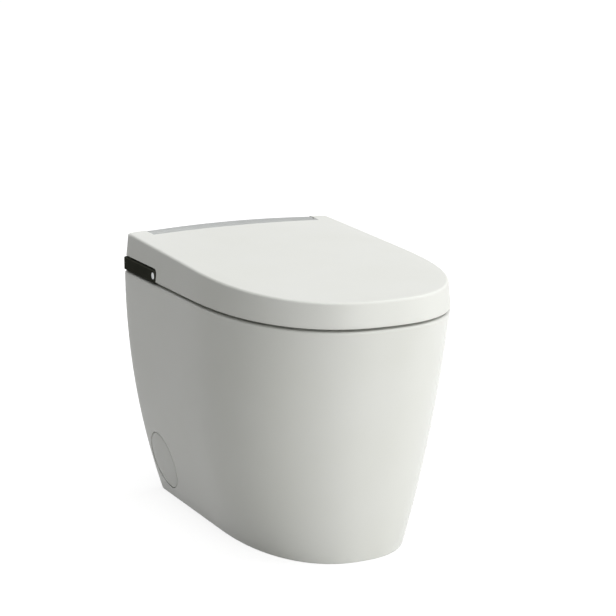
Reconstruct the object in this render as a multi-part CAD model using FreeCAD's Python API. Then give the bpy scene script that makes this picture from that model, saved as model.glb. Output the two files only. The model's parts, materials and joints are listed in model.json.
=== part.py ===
import FreeCAD, Part
import math
import os

# A tankless bidet toilet with a skirted ceramic pan, a heated seat and a wedge-shaped lid.
# Millimetres. Z is up from the floor, the user faces -Y, the wall side is +Y.

# Overall sizes
WIDTH = 400.0
LENGTH = 606.0
RIM_Z = 400.0
CLEAR = 0.3              # assembly gap between pieces that do not run on each other
RUN = 0.05               # radial running clearance of a shaft in its hole

# Ceramic pan
WALL = 12.0
DECK = 26.0              # thickness of the rim and rear deck
CORNER = 14.0            # rear corners in plan
SHOULDER = 315.0         # from the front to where the sides run straight, at the rim
SHOULDER_SHIFT = 13.0    # how much farther back they do so at the floor
SIDE_TUCK = 57.0         # how far each side draws in between rim and floor
NOSE_TUCK = 83.0
REAR_TUCK = 18.0
SIDE_CURVE = 2.1         # powers of the tuck over the height
NOSE_CURVE = 0.85
ROUND_TOP = 2.45          # superellipse power of the front at the rim
ROUND_FOOT = 2.35
RIM_EDGE_R = 5.0
BOWL_SIDE = 55.0         # from each side of the rim to the bowl
BOWL_FRONT = 48.0        # from the front of the rim to the bowl
BOWL_REAR = 32.0         # from the bowl to the bidet unit
BOWL_SHELL = 11.0
SUMP_Z = 140.0
NOTCH_HALF = 88.0        # passage for wands and dryer between bay and bowl
NOTCH_DEPTH = 43.0
BAY_SIDE = 50.0          # from each side of the rim to the bay under the bidet unit
BAY_LENGTH = 111.0
BAY_REAR = 15.0
ARCH_HALF = 60.0         # service arch in the rear wall
ARCH_HEIGHT = 150.0
FOOT_SPAN = 230.0        # between the floor bolts
ANCHOR_FROM_REAR = 83.0  # floor bolts, and the caps that give access to them
FOOT_HOLE_R = 6.5
FOOT_HEIGHT = 18.0

# Side access caps
CAP_R = 50.0
CAP_T = 5.0
CAP_GAP = 1.0
CAP_Z = 70.0
CAP_HOLE_R = 27.0

# Drain
ROUGH_IN = 305.0         # floor outlet from the wall side
TRAP_BORE_R = 26.0
TRAP_WALL = 8.0
TRAP_Z = 168.0           # trap inlet
TRAP_FROM_REAR = 108.0   # falling leg
SPIGOT_TO_TRAP = 129.0   # from the end of the pan's outlet to the falling leg
WEIR_Z = 262.0
TRAP_LOW_Z = 60.0
SLEEVE_WALL = 5.0

# Lid
LID_GAP = 4.5
LID_FRONT_H = 43.5       # top of the lid over the rim, at the front and at the rear
LID_REAR_H = 68.7
LID_CROWN = 3.0
LID_WALL = 3.2
LID_DRAFT = 6.0          # degrees
LID_EDGE_R = 5.0
LINER_T = 2.5
LID_AXIS_FROM_REAR = 20.0
LID_AXIS_H = 52.0
EAR_WIDTH = 40.0
EAR_HEEL_R = 10.0
LUG_T = 9.0
LUG_R = 13.0
SHAFT_R = 5.0
BARREL_R = 16.4          # hinge cover at its ends
BARREL_CROWN = 3.4
BARREL_WALL = 3.6
BUSH_LENGTH = 10.0

# Seat
SEAT_GAP = 6.0           # underside over the rim
SEAT_T = 18.5
SEAT_BASE_T = 4.0
SEAT_WALL = 3.5
SEAT_INSET = 9.0         # from the outline of the rim
SEAT_HOLE_SIDE = 92.0    # from each side of the rim to the hole
SEAT_HOLE_FRONT = 80.0   # from the front of the rim to the hole
SEAT_HOLE_REAR = 85.0    # from the hole to the bidet unit
SEAT_EDGE_R = 9.0
SEAT_AXIS_H = 19.0
SEAT_PIN_R = 5.0
SEAT_LUG_X = 120.0
SEAT_LUG_T = 14.0
BRACKET_T = 8.0
PAD_R = 9.0

# Bidet unit
UNIT_DEPTH = 146.0
BOLT_FROM_REAR = 68.0    # bolts that hold the tray on the deck
TRAY_T = 4.0
COVER_T = 2.5
COVER_H = 46.0           # top of the cover over the rim
SHELF_H = 23.0           # low rear shelf under the hinge cover
HUMP_LENGTH = 108.0
NOSE_R = 13.0
PANEL_H = 23.5           # top of the black side panels over the rim
PANEL_GAP = 2.5          # under them, over the rim
PANEL_PROUD = 0.5
PANEL_T = 13.0
PANEL_EDGE_R = 7.0
BUTTON_R = 6.0
BUTTON_TRAVEL = 1.5
BUTTON_FROM_FRONT = 8.0

# Wash wands
WAND_SLOPE = 22.0        # degrees
WAND_X = 11.0
WAND_R = 6.5
WAND_BORE_R = 3.0
WAND_TRAVEL = 80.0
WAND_TIP = 14.0
TOOTH_MODULE = 1.0
PINION_TEETH = 14
PINION_T = 5.0
BACKLASH = 0.2
STEPPER_R = 11.0
STEPPER_T = 14.0

# Dryer
BLOWER_X = 112.0
BLOWER_FROM_FRONT = 68.0
BLOWER_R = 32.0
BLOWER_H = 31.0
IMPELLER_R = 24.0
DUCT_HALF = 17.0
DUCT_H = 30.0
DUCT_WALL = 2.0
FLAP_T = 2.0

# Flush and supply
HOSE_R = 9.0
HOSE_WALL = 2.0
INLET_SIDE = 82.0        # from the right side of the rim to the water inlet
INLET_Z = 140.0
INLET_THREAD_R = 10.48
INLET_THREAD = 16.0
VALVE_SIDE = 108.0       # from the right side of the rim to the flush valve's outlets

FRONT = -LENGTH / 2
REAR = LENGTH / 2
HALF = WIDTH / 2
INLET_X = INLET_SIDE - HALF
VALVE_X = VALVE_SIDE - HALF
BOWL_HALF = HALF - BOWL_SIDE
BAY_HALF = HALF - BAY_SIDE
SEAT_HOLE_HALF = HALF - SEAT_HOLE_SIDE
TRAY_Z = RIM_Z + TRAY_T
LID_Z = RIM_Z + LID_GAP
UNIT_FRONT = REAR - UNIT_DEPTH
UNIT_REAR = REAR - 2.0
SEAT_REAR = UNIT_FRONT - 5.0
LID_AXIS_Y = REAR - LID_AXIS_FROM_REAR
LID_AXIS_Z = RIM_Z + LID_AXIS_H
SEAT_AXIS_Y = UNIT_FRONT + NOSE_R + 1.0
SEAT_AXIS_Z = RIM_Z + SEAT_AXIS_H
DRAIN_Y = REAR - ROUGH_IN
SHOULDER_Y = FRONT + SHOULDER
FOOT_Y = REAR - ANCHOR_FROM_REAR
CAP_Y = FOOT_Y
TRAP_REAR_Y = REAR - TRAP_FROM_REAR
BOWL_LENGTH = LENGTH - UNIT_DEPTH - BOWL_FRONT - BOWL_REAR
SEAT_HOLE_LENGTH = LENGTH - UNIT_DEPTH - SEAT_HOLE_FRONT - SEAT_HOLE_REAR


def vec(x, y, z):
    return FreeCAD.Vector(x, y, z)


def box(x0, x1, y0, y1, z0, z1):
    return Part.makeBox(x1 - x0, y1 - y0, z1 - z0, vec(x0, y0, z0))


def rod_x(x0, x1, y, z, r):
    return Part.makeCylinder(r, x1 - x0, vec(x0, y, z), vec(1, 0, 0))


def rod_y(y0, y1, x, z, r):
    return Part.makeCylinder(r, y1 - y0, vec(x, y0, z), vec(0, 1, 0))


def rod_z(z0, z1, x, y, r):
    return Part.makeCylinder(r, z1 - z0, vec(x, y, z0), vec(0, 0, 1))


def fuse(*shapes):
    whole = shapes[0].multiFuse(list(shapes[1:]))
    return whole.removeSplitter()


def mirrored(shape):
    return shape.mirror(vec(0, 0, 0), vec(1, 0, 0))


def both_sides(shape):
    return Part.makeCompound([shape, mirrored(shape)])


def superellipse(half, length, power, steps):
    """Half an oval from -half to +half, bulging by length towards -Y."""
    points = []
    for i in range(steps + 1):
        turn = math.pi * i / steps
        across = -math.copysign(abs(math.cos(turn)) ** (2 / power), math.cos(turn))
        points.append((half * across, -length * math.sin(turn) ** (2 / power)))
    return points


def plan_wire(z, half, front, shoulder, rear, power, corner):
    """Straight sides, rounded front and small rear corners."""
    nose = Part.BSplineCurve()
    points = [vec(x, shoulder + y, z) for x, y in superellipse(half, shoulder - front, power, 16)]
    nose.interpolate(Points=points, InitialTangent=vec(0, -1, 0), FinalTangent=vec(0, 1, 0))
    bend = corner * (1 - math.sqrt(0.5))
    edges = [
        nose.toShape(),
        Part.makeLine(vec(half, shoulder, z), vec(half, rear - corner, z)),
        Part.Arc(vec(half, rear - corner, z), vec(half - bend, rear - bend, z),
                 vec(half - corner, rear, z)).toShape(),
        Part.makeLine(vec(half - corner, rear, z), vec(corner - half, rear, z)),
        Part.Arc(vec(corner - half, rear, z), vec(bend - half, rear - bend, z),
                 vec(-half, rear - corner, z)).toShape(),
        Part.makeLine(vec(-half, rear - corner, z), vec(-half, shoulder, z)),
    ]
    return Part.Wire(edges)


def oval_wire(z, half, front, rear, power=2.2):
    """A closed smooth oval."""
    middle = (front + rear) / 2
    first = [vec(x, middle + y, z) for x, y in superellipse(half, middle - front, power, 12)]
    second = [vec(-p.x, 2 * middle - p.y, z) for p in first]
    curve = Part.BSplineCurve()
    curve.interpolate(Points=first[:-1] + second[:-1], PeriodicFlag=True)
    return Part.Wire([curve.toShape()])


def slab(wire, height):
    return Part.Face(wire).extrude(vec(0, 0, height))


def bent_path(points, bend):
    """A wire through the corner points with every corner rounded to the bend radius."""
    edges = []
    start = points[0]
    for before, corner, after in zip(points, points[1:], points[2:]):
        back = (before - corner).normalize()
        onward = (after - corner).normalize()
        half_angle = back.getAngle(onward) / 2
        reach = bend / math.tan(half_angle)
        middle = corner + (back + onward).normalize() * (bend / math.sin(half_angle) - bend)
        entry = corner + back * reach
        leave = corner + onward * reach
        edges.append(Part.makeLine(start, entry))
        edges.append(Part.Arc(entry, middle, leave).toShape())
        start = leave
    edges.append(Part.makeLine(start, points[-1]))
    return Part.Wire(edges)


def swept_rod(points, bend, r):
    path = bent_path(points, bend)
    ring = Part.Wire([Part.makeCircle(r, points[0], points[1] - points[0])])
    return path.makePipeShell([ring], True, False)


def hose(points, bend, r, wall):
    return swept_rod(points, bend, r).cut(swept_rod(points, bend, r - wall))


def save(name, shape):
    shape.exportStep("parts/" + name + ".step")


# Ceramic pan


def skirt_wire(z, inset):
    """Outline of the skirt at a height, drawn in from the rim down to the floor."""
    low = 1 - max(z, 0.0) / RIM_Z
    side = low ** SIDE_CURVE
    nose = low ** NOSE_CURVE
    return plan_wire(
        z,
        HALF - SIDE_TUCK * side - inset,
        FRONT + NOSE_TUCK * nose + inset,
        SHOULDER_Y + SHOULDER_SHIFT * nose,
        REAR - REAR_TUCK * side - inset,
        ROUND_TOP + (ROUND_FOOT - ROUND_TOP) * nose,
        CORNER - min(inset, CORNER - 4.0),
    )


def skirt_solid(inset, top):
    heights = [top * i / 6 for i in range(7)]
    return Part.makeLoft([skirt_wire(z, inset) for z in heights], True, False)


def bowl_loft(grow, top):
    """The bowl: steep under the rim, then closing in to the sump."""
    front = FRONT + BOWL_FRONT
    rear = front + BOWL_LENGTH
    fall = RIM_Z - SUMP_Z
    shares = ((0.0, 1.0, 0.0, 0.0), (0.13, 0.99, 0.01, 0.006), (0.4, 0.87, 0.07, 0.07),
              (0.66, 0.63, 0.22, 0.2), (0.87, 0.38, 0.41, 0.3), (1.0, 0.24, 0.5, 0.34))
    wires = []
    for depth, width, fore, aft in shares:
        z = RIM_Z - fall * depth - (grow if depth == 1.0 else 0.0)
        wires.append(oval_wire(z, BOWL_HALF * width + grow, front + BOWL_LENGTH * fore - grow,
                               rear - BOWL_LENGTH * aft + grow))
    loft = Part.makeLoft(wires, True, False)
    if top > RIM_Z:
        loft = loft.fuse(slab(oval_wire(RIM_Z, BOWL_HALF + grow, front - grow, rear + grow), top - RIM_Z))
    return loft


def cap_zone(r):
    return rod_x(-HALF - 20, -HALF / 2, CAP_Y, CAP_Z, r)


def skin(solid, depth, r):
    """The outer skin of the right-hand wall inside a round, following its curve."""
    inner = solid.copy()
    inner.translate(vec(depth, 0, 0))
    return solid.common(cap_zone(r)).cut(inner)


outer = skirt_solid(0.0, RIM_Z)
top_face = max(outer.Faces, key=lambda f: f.CenterOfMass.z)
rounded = outer.makeFillet(RIM_EDGE_R, top_face.Edges)
hollow = skirt_solid(WALL, RIM_Z - DECK)
pan = rounded.cut(hollow)

bowl_out = bowl_loft(BOWL_SHELL, RIM_Z).common(box(-HALF, HALF, FRONT, REAR, 0, RIM_Z - DECK / 2))
outlet_y = FRONT + BOWL_FRONT + BOWL_LENGTH * 0.5
spigot_end = TRAP_REAR_Y - SPIGOT_TO_TRAP
trap_r = TRAP_BORE_R + TRAP_WALL
pan = pan.fuse([bowl_out, rod_y(outlet_y, spigot_end, 0, TRAP_Z, trap_r)])

foot = box(FOOT_SPAN / 2 - 22, HALF - SIDE_TUCK - WALL / 2, FOOT_Y - 25, FOOT_Y + 25, 0, FOOT_HEIGHT)
foot = foot.cut(rod_z(-1, FOOT_HEIGHT + 1, FOOT_SPAN / 2, FOOT_Y, FOOT_HOLE_R))
pan = pan.fuse([foot, mirrored(foot)])

bay_y0 = REAR - BAY_REAR - BAY_LENGTH
arch_y = REAR - REAR_TUCK - WALL - 8
arch = fuse(box(-ARCH_HALF, ARCH_HALF, arch_y, REAR + 5, -1, ARCH_HEIGHT - ARCH_HALF),
            rod_y(arch_y, REAR + 5, 0, ARCH_HEIGHT - ARCH_HALF, ARCH_HALF))
rim_port_z = RIM_Z - 56.0
jet_port_z = SUMP_Z + 24.0
jet_port_y = outlet_y + 30.0
inlet_hole_r = INLET_THREAD_R + 11.0
bolt_x = HALF - 34.0
bolt_y = REAR - BOLT_FROM_REAR
cuts = [
    bowl_loft(0.0, RIM_Z + 5),
    rod_y(outlet_y, spigot_end + 1, 0, TRAP_Z, TRAP_BORE_R),
    box(-BAY_HALF, BAY_HALF, bay_y0, REAR - BAY_REAR, RIM_Z - DECK - 1, RIM_Z + 1),
    box(-NOTCH_HALF, NOTCH_HALF, bay_y0 - 66, bay_y0 + 3, RIM_Z - NOTCH_DEPTH, RIM_Z + 1),
    arch,
    rod_y(outlet_y + 60, bay_y0, VALVE_X, rim_port_z, HOSE_R + CLEAR),
    rod_x(-BOWL_HALF / 2 - 8, -20, jet_port_y, jet_port_z, HOSE_R + CLEAR),
    rod_y(REAR - 40, REAR + 5, INLET_X, INLET_Z, inlet_hole_r),
    rod_y(REAR - 40, REAR + 5, -INLET_X, INLET_Z, 10.0),
    rod_z(RIM_Z - DECK - 1, RIM_Z + 1, bolt_x, bolt_y, 5.0),
    rod_z(RIM_Z - DECK - 1, RIM_Z + 1, -bolt_x, bolt_y, 5.0),
]
cap_seat = skin(outer, CAP_T + CLEAR, CAP_R + CAP_GAP)
cap_hole = cap_zone(CAP_HOLE_R)
cuts += [cap_seat, mirrored(cap_seat), cap_hole, mirrored(cap_hole)]
pan = pan.cut(cuts).removeSplitter()

cap_side = HALF - SIDE_TUCK * (1 - CAP_Z / RIM_Z) ** SIDE_CURVE
cap = skin(outer, CAP_T, CAP_R)
cap_back = outer.copy()
cap_back.translate(vec(CAP_T - 1, 0, 0))
plug = rod_x(-HALF, -cap_side + CAP_T + 11, CAP_Y, CAP_Z, CAP_HOLE_R - CLEAR)
plug = plug.cut(rod_x(-HALF - 1, 0, CAP_Y, CAP_Z, CAP_HOLE_R - 4)).common(cap_back)
cap = cap.fuse(plug).removeSplitter()

# Drain

trap_bend = trap_r + 3.0
trap_points = [
    vec(0, spigot_end + CLEAR, TRAP_Z),
    vec(0, spigot_end + 22 + 0.85 * trap_bend, TRAP_Z),
    vec(0, TRAP_REAR_Y - 1.95 * trap_bend, WEIR_Z),
    vec(0, TRAP_REAR_Y, WEIR_Z),
    vec(0, TRAP_REAR_Y, TRAP_LOW_Z),
    vec(0, DRAIN_Y, TRAP_LOW_Z),
    vec(0, DRAIN_Y, 0),
]
trap_pipe = hose(trap_points, trap_bend, trap_r, TRAP_WALL)
sleeve_r = trap_r + CLEAR
trap_sleeve = rod_y(spigot_end - 11, spigot_end + 17, 0, TRAP_Z, sleeve_r + SLEEVE_WALL)
trap_sleeve = trap_sleeve.cut(rod_y(spigot_end - 20, spigot_end + 20, 0, TRAP_Z, sleeve_r))
floor_seal = rod_z(0, 15, 0, DRAIN_Y, sleeve_r + 12).cut(rod_z(-1, 16, 0, DRAIN_Y, sleeve_r))

# Bidet unit: tray on the rear deck

unit_half = HALF + PANEL_PROUD - PANEL_T - 0.5
apron_half = NOTCH_HALF - 2
apron_y = UNIT_FRONT - 6
tray_rear = UNIT_REAR - 7
wand_base = vec(0, UNIT_FRONT - 10, RIM_Z - 17)
duct_x = BLOWER_X - BLOWER_R - DUCT_HALF
blower_y = UNIT_FRONT + BLOWER_FROM_FRONT
duct_rise = UNIT_FRONT + 35


def along_wand(shape):
    """Turns a piece drawn level, with the wand running along Y, into the sloping line of the wands."""
    shape = shape.copy()
    shape.rotate(vec(0, 0, 0), vec(1, 0, 0), WAND_SLOPE)
    shape.translate(wand_base)
    return shape


wand_length = 2.0 * WAND_TRAVEL - 40.0
pitch_r = TOOTH_MODULE * PINION_TEETH / 2
pitch_x = WAND_X + WAND_R + 2.0
pinion_x = pitch_x + pitch_r
pinion_y = wand_length - WAND_TRAVEL - 6.0
rack_start = pinion_y - 6.0
tip_height = 0.8 * TOOTH_MODULE
root_depth = 1.05 * TOOTH_MODULE
cradle_half = pinion_x + pitch_r + tip_height + 3.2
window_half = cradle_half + 1.5


def wand_way(gap):
    """The passage that a wand with its rack runs through."""
    way = rod_y(-40, wand_length, WAND_X, 0, WAND_R + gap)
    rack_way = box(WAND_X, pitch_x + tip_height + gap, -40, wand_length, -PINION_T / 2 - gap,
                   PINION_T / 2 + gap)
    return both_sides(way.fuse(rack_way))


screw_x = unit_half - 11
screw_ys = (LID_AXIS_Y - 9, LID_AXIS_Y + 4)
bracket = box(0, BRACKET_T, SEAT_AXIS_Y - 9, SEAT_AXIS_Y + 9, TRAY_Z - 1, SEAT_AXIS_Z)
bracket = fuse(bracket, rod_x(0, BRACKET_T, SEAT_AXIS_Y, SEAT_AXIS_Z, SEAT_PIN_R + 4))
bracket = bracket.cut(rod_x(-1, BRACKET_T + 1, SEAT_AXIS_Y, SEAT_AXIS_Z, SEAT_PIN_R + RUN / 2))
tray_adds = [
    box(-apron_half, apron_half, apron_y, UNIT_FRONT + 1, RIM_Z, TRAY_Z),
    box(-apron_half, apron_half, apron_y, apron_y + 3, RIM_Z - NOTCH_DEPTH + 2, TRAY_Z),
]
for x in (SEAT_LUG_X - SEAT_LUG_T / 2 - 1 - BRACKET_T, SEAT_LUG_X + SEAT_LUG_T / 2 + 1):
    ear = bracket.copy()
    ear.translate(vec(x, 0, 0))
    tray_adds += [ear, mirrored(ear)]
shelf_z = RIM_Z + SHELF_H
for y in screw_ys:
    post = rod_z(TRAY_Z - 1, shelf_z - COVER_T, screw_x, y, 4.5)
    post = post.cut(rod_z(TRAY_Z + 2, shelf_z, screw_x, y, 1.8))
    tray_adds += [post, mirrored(post)]
flap_x0 = duct_x - DUCT_HALF - 1
flap_x1 = duct_x + DUCT_HALF + 1
flap_y = apron_y - 2.4
flap_z = RIM_Z - 3
duct_z0 = RIM_Z - 2 - DUCT_H
for x in (flap_x0 - 2.2, flap_x1 + 0.2):
    tray_adds.append(box(x, x + 2, flap_y - 2, apron_y + 1, flap_z - 2.4, flap_z + 2.6))
tray = box(-unit_half, unit_half, UNIT_FRONT, tray_rear, RIM_Z, TRAY_Z).fuse(tray_adds)
tray = tray.cut([
    box(-window_half, window_half, UNIT_FRONT - 2, REAR - 44, RIM_Z - 1, TRAY_Z + 1),
    box(duct_x - DUCT_HALF, duct_x + DUCT_HALF, duct_rise - 11, duct_rise + 11, RIM_Z - 1, TRAY_Z + 1),
    rod_z(RIM_Z - 1, TRAY_Z + 1, BLOWER_X, blower_y, 14 + CLEAR),
    box(duct_x - DUCT_HALF + DUCT_WALL, duct_x + DUCT_HALF - DUCT_WALL, apron_y - 1, apron_y + 4,
        duct_z0 + DUCT_WALL, RIM_Z - 2 - DUCT_WALL),
    rod_z(RIM_Z - 1, TRAY_Z + 1, bolt_x, bolt_y, 4.0 + CLEAR),
    rod_z(RIM_Z - 1, TRAY_Z + 1, -bolt_x, bolt_y, 4.0 + CLEAR),
    rod_x(flap_x0 - 3, flap_x1 + 3, flap_y, flap_z, 1.2 + RUN),
    along_wand(wand_way(1.5)),
])
tray = tray.removeSplitter()

bolt = fuse(rod_z(RIM_Z - DECK - 20, TRAY_Z + 1, bolt_x, bolt_y, 4.0),
            rod_z(TRAY_Z, TRAY_Z + 5, bolt_x, bolt_y, 7.0))
washer = rod_z(RIM_Z - DECK - 5, RIM_Z - DECK, bolt_x, bolt_y, 12.0)
washer = washer.cut(rod_z(RIM_Z - DECK - 6, RIM_Z, bolt_x, bolt_y, 4.0 + RUN))
turns = [math.pi * i / 3 for i in range(7)]
hexagon = [vec(bolt_x + 7.5 * math.cos(t), bolt_y + 7.5 * math.sin(t), RIM_Z - DECK - 12) for t in turns]
nut = slab(Part.makePolygon(hexagon), 7.0).cut(rod_z(0, RIM_Z, bolt_x, bolt_y, 4.0 + RUN))

# Unit cover, with a rounded nose over the seat hinge and a low shelf under the hinge cover


def cover_wire(x):
    top = RIM_Z + COVER_H
    nose_y = SEAT_AXIS_Y - NOSE_R
    nose_z = SEAT_AXIS_Z + NOSE_R
    hump_rear = UNIT_FRONT + HUMP_LENGTH
    bend = NOSE_R * math.sqrt(0.5)
    arc = Part.Arc(vec(x, nose_y, SEAT_AXIS_Z), vec(x, SEAT_AXIS_Y - bend, SEAT_AXIS_Z + bend),
                   vec(x, SEAT_AXIS_Y, nose_z)).toShape()
    corners = [(SEAT_AXIS_Y, nose_z), (SEAT_AXIS_Y + 14, nose_z + 1), (SEAT_AXIS_Y + 24, top),
               (hump_rear - 4, top), (hump_rear, top - 4), (hump_rear, shelf_z), (tray_rear, shelf_z),
               (tray_rear, TRAY_Z), (nose_y, TRAY_Z), (nose_y, SEAT_AXIS_Z)]
    points = [vec(x, y, z) for y, z in corners]
    lines = [Part.makeLine(a, b) for a, b in zip(points, points[1:])]
    return Part.Wire([arc] + lines)


cover = Part.Face(cover_wire(-unit_half)).extrude(vec(2 * unit_half, 0, 0))
inner_half = unit_half - COVER_T
inner_wire = cover_wire(-inner_half).makeOffset2D(-COVER_T)
inner = Part.Face(inner_wire).extrude(vec(2 * inner_half, 0, 0))
inner_foot = box(-inner_half, inner_half, SEAT_AXIS_Y - NOSE_R + COVER_T, tray_rear - COVER_T,
                 TRAY_Z - 1, TRAY_Z + COVER_T + 1)
lug_slot = box(SEAT_LUG_X - SEAT_LUG_T / 2 - BRACKET_T - 1.6, SEAT_LUG_X + SEAT_LUG_T / 2 + BRACKET_T + 1.6,
               UNIT_FRONT - 5, SEAT_AXIS_Y + 12, TRAY_Z - 1, RIM_Z + COVER_H)
cover_cuts = [inner, inner_foot, lug_slot, mirrored(lug_slot)]
screws = []
for y in screw_ys:
    hole = rod_z(shelf_z - 5, shelf_z + 1, screw_x, y, 2.0)
    cover_cuts += [hole, mirrored(hole)]
    screw = fuse(rod_z(shelf_z - 12, shelf_z + 1, screw_x, y, 1.7),
                 rod_z(shelf_z, shelf_z + 2.2, screw_x, y, 3.4))
    screw = screw.cut(box(screw_x - 0.5, screw_x + 0.5, y - 5, y + 5, shelf_z + 1.3, shelf_z + 3))
    screws += [screw, mirrored(screw)]
cover = cover.cut(cover_cuts).removeSplitter()

rear_panel = box(-unit_half, unit_half, tray_rear + CLEAR, UNIT_REAR, RIM_Z, shelf_z)
louvres = []
for i in range(9):
    x = BLOWER_X - 32 + 8 * i
    louvres.append(box(x, x + 4, tray_rear, UNIT_REAR + 1, RIM_Z + 6, shelf_z - 5))
rear_panel = rear_panel.cut(louvres)

# Black side panels, one with a push button

panel_front = UNIT_FRONT - 2
panel_top = RIM_Z + PANEL_H
panel_in = unit_half + 0.5
panel_out = HALF + PANEL_PROUD
button_y = panel_front + BUTTON_FROM_FRONT
button_z = RIM_Z + PANEL_H * 0.6
panel = box(-panel_out, -panel_in, panel_front, UNIT_REAR, RIM_Z + PANEL_GAP, panel_top)


def edge_near(shape, point):
    return min(shape.Edges, key=lambda e: (e.CenterOfMass - point).Length)


middle_x = -(panel_in + panel_out) / 2
middle_y = (panel_front + UNIT_REAR) / 2
middle_z = (RIM_Z + panel_top) / 2
panel = panel.makeFillet(CORNER - 4, [edge_near(panel, vec(-panel_out, UNIT_REAR, middle_z))])
panel = panel.makeFillet(PANEL_EDGE_R, [edge_near(panel, vec(middle_x, panel_front, panel_top))])
panel = panel.makeFillet(1.5, [edge_near(panel, vec(-panel_out, middle_y, panel_top))])
plain_panel = mirrored(panel)
button_in = -panel_out + 7.3
panel = panel.cut([
    rod_x(-panel_out - 1, button_in + BUTTON_TRAVEL + CLEAR, button_y, button_z, BUTTON_R + CLEAR),
    box(button_in, -panel_in + 1, button_y - 5.5, button_y + 5.5, button_z - 5.5, button_z + 5.5),
])
button = rod_x(-panel_out, button_in, button_y, button_z, BUTTON_R)
button = button.makeFillet(1.0, [edge_near(button, vec(-panel_out, button_y, button_z))])
switch_x = button_in + BUTTON_TRAVEL + 0.2
switch = fuse(box(switch_x + 1, -panel_in, button_y - 5.3, button_y + 5.3, button_z - 5.3, button_z + 5.3),
              rod_x(switch_x, switch_x + 2, button_y, button_z, 2.0))

# Lid

lid_slope = (LID_REAR_H - LID_FRONT_H) / LENGTH
ear_x = HALF - EAR_WIDTH
taper = math.tan(math.radians(LID_DRAFT))


def lid_top_z(y):
    return RIM_Z + LID_FRONT_H + (y - FRONT) * lid_slope


def lid_body(inset, bottom):
    """The lid as a full block with drafted sides, before its top is cut."""
    wires = []
    for z in (bottom, LID_Z + 90):
        draw = (z - LID_Z) * taper + inset
        wires.append(plan_wire(z, HALF - draw, FRONT + draw, SHOULDER_Y, UNIT_REAR - draw, ROUND_TOP,
                               CORNER - min(inset, CORNER / 2)))
    return Part.makeLoft(wires, True, True)


def under_lid_top(drop):
    """All that lies below the top of the lid, which slopes to the front and is crowned across."""
    span = HALF + 60
    sag = LID_CROWN * (span / HALF) ** 2
    y = FRONT - 60
    top = lid_top_z(y) + LID_CROWN - drop
    low = RIM_Z - 60
    left = vec(-span, y, top - sag)
    right = vec(span, y, top - sag)
    edges = [
        Part.Arc(left, vec(0, y, top), right).toShape(),
        Part.makeLine(right, vec(span, y, low)),
        Part.makeLine(vec(span, y, low), vec(-span, y, low)),
        Part.makeLine(vec(-span, y, low), left),
    ]
    run = LENGTH + 120
    return Part.Face(Part.Wire(edges)).extrude(vec(0, run, run * lid_slope))


def round_cut(y, z, r, y_side, z_side):
    """What rounding a corner of a side wall takes away, over the full width."""
    cut = box(-HALF - 20, HALF + 20, min(y, y + y_side * r), max(y, y + y_side * r),
              min(z, z + z_side * r), max(z, z + z_side * r))
    return cut.cut(rod_x(-HALF - 21, HALF + 21, y + y_side * r, z + z_side * r, r))


lid_block = lid_body(0.0, LID_Z).common(under_lid_top(0.0))
lid_face = max(lid_block.Faces, key=lambda f: f.Area * (f.CenterOfMass.z > LID_Z + 20))
lid_full = lid_block.makeFillet(LID_EDGE_R, lid_face.Edges)
lid_shell = lid_full.cut(lid_body(LID_WALL, LID_Z - 5).common(under_lid_top(LID_WALL)))
notch_z = panel_top + 3.3
notch_y = panel_front - 3
heel_y = UNIT_REAR - (notch_z - LID_Z) * taper
notch = box(-HALF - 20, HALF + 20, notch_y, REAR + 20, LID_Z - 10, notch_z)
notch = notch.cut(round_cut(notch_y, notch_z, PANEL_EDGE_R + 3, 1, -1))
heel = round_cut(heel_y, notch_z, EAR_HEEL_R, -1, 1)
lid_edge_y = LID_AXIS_Y - BARREL_R + 0.9
middle_gap = box(-ear_x, ear_x, lid_edge_y, REAR + 20, LID_Z - 10, LID_AXIS_Z + 60)
ear_in = HALF - LID_WALL - 6
heel_gap = box(-ear_in, ear_in, LID_AXIS_Y + 5, REAR + 20, LID_Z - 10, LID_AXIS_Z - 4)
lid_shell = lid_shell.cut([notch, heel, heel_gap, middle_gap])
lug = rod_x(ear_x, ear_x + LUG_T, LID_AXIS_Y, LID_AXIS_Z, LUG_R)
lug = lug.fuse(box(ear_x, ear_x + LUG_T, LID_AXIS_Y - LUG_R, LID_AXIS_Y + LUG_R, LID_AXIS_Z,
                   LID_AXIS_Z + 40))
lug = lug.common(lid_full)
lid_shell = lid_shell.fuse([lug, mirrored(lug)])
bore_half = HALF - LID_WALL - 8
lid_shell = lid_shell.cut(rod_x(-bore_half, bore_half, LID_AXIS_Y, LID_AXIS_Z, SHAFT_R + RUN))
lid_shell = lid_shell.removeSplitter()

liner_drop = LID_WALL + CLEAR
lid_liner = lid_body(liner_drop, LID_Z - 5).common(under_lid_top(liner_drop))
lid_liner = lid_liner.cut(under_lid_top(liner_drop + LINER_T))
lid_liner = lid_liner.common(box(-HALF, HALF, FRONT, lid_edge_y - 3.5, LID_Z - 10, LID_AXIS_Z + 60))

seat_z = RIM_Z + SEAT_GAP
seat_top_z = seat_z + SEAT_T
lid_pads = []
for y in (FRONT + 186, SEAT_REAR - 79):
    pad = rod_z(seat_top_z + CLEAR, LID_AXIS_Z + 30, HALF - 50, y, PAD_R - 1)
    pad = pad.common(under_lid_top(liner_drop + LINER_T + 0.05))
    lid_pads += [pad, mirrored(pad)]

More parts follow.
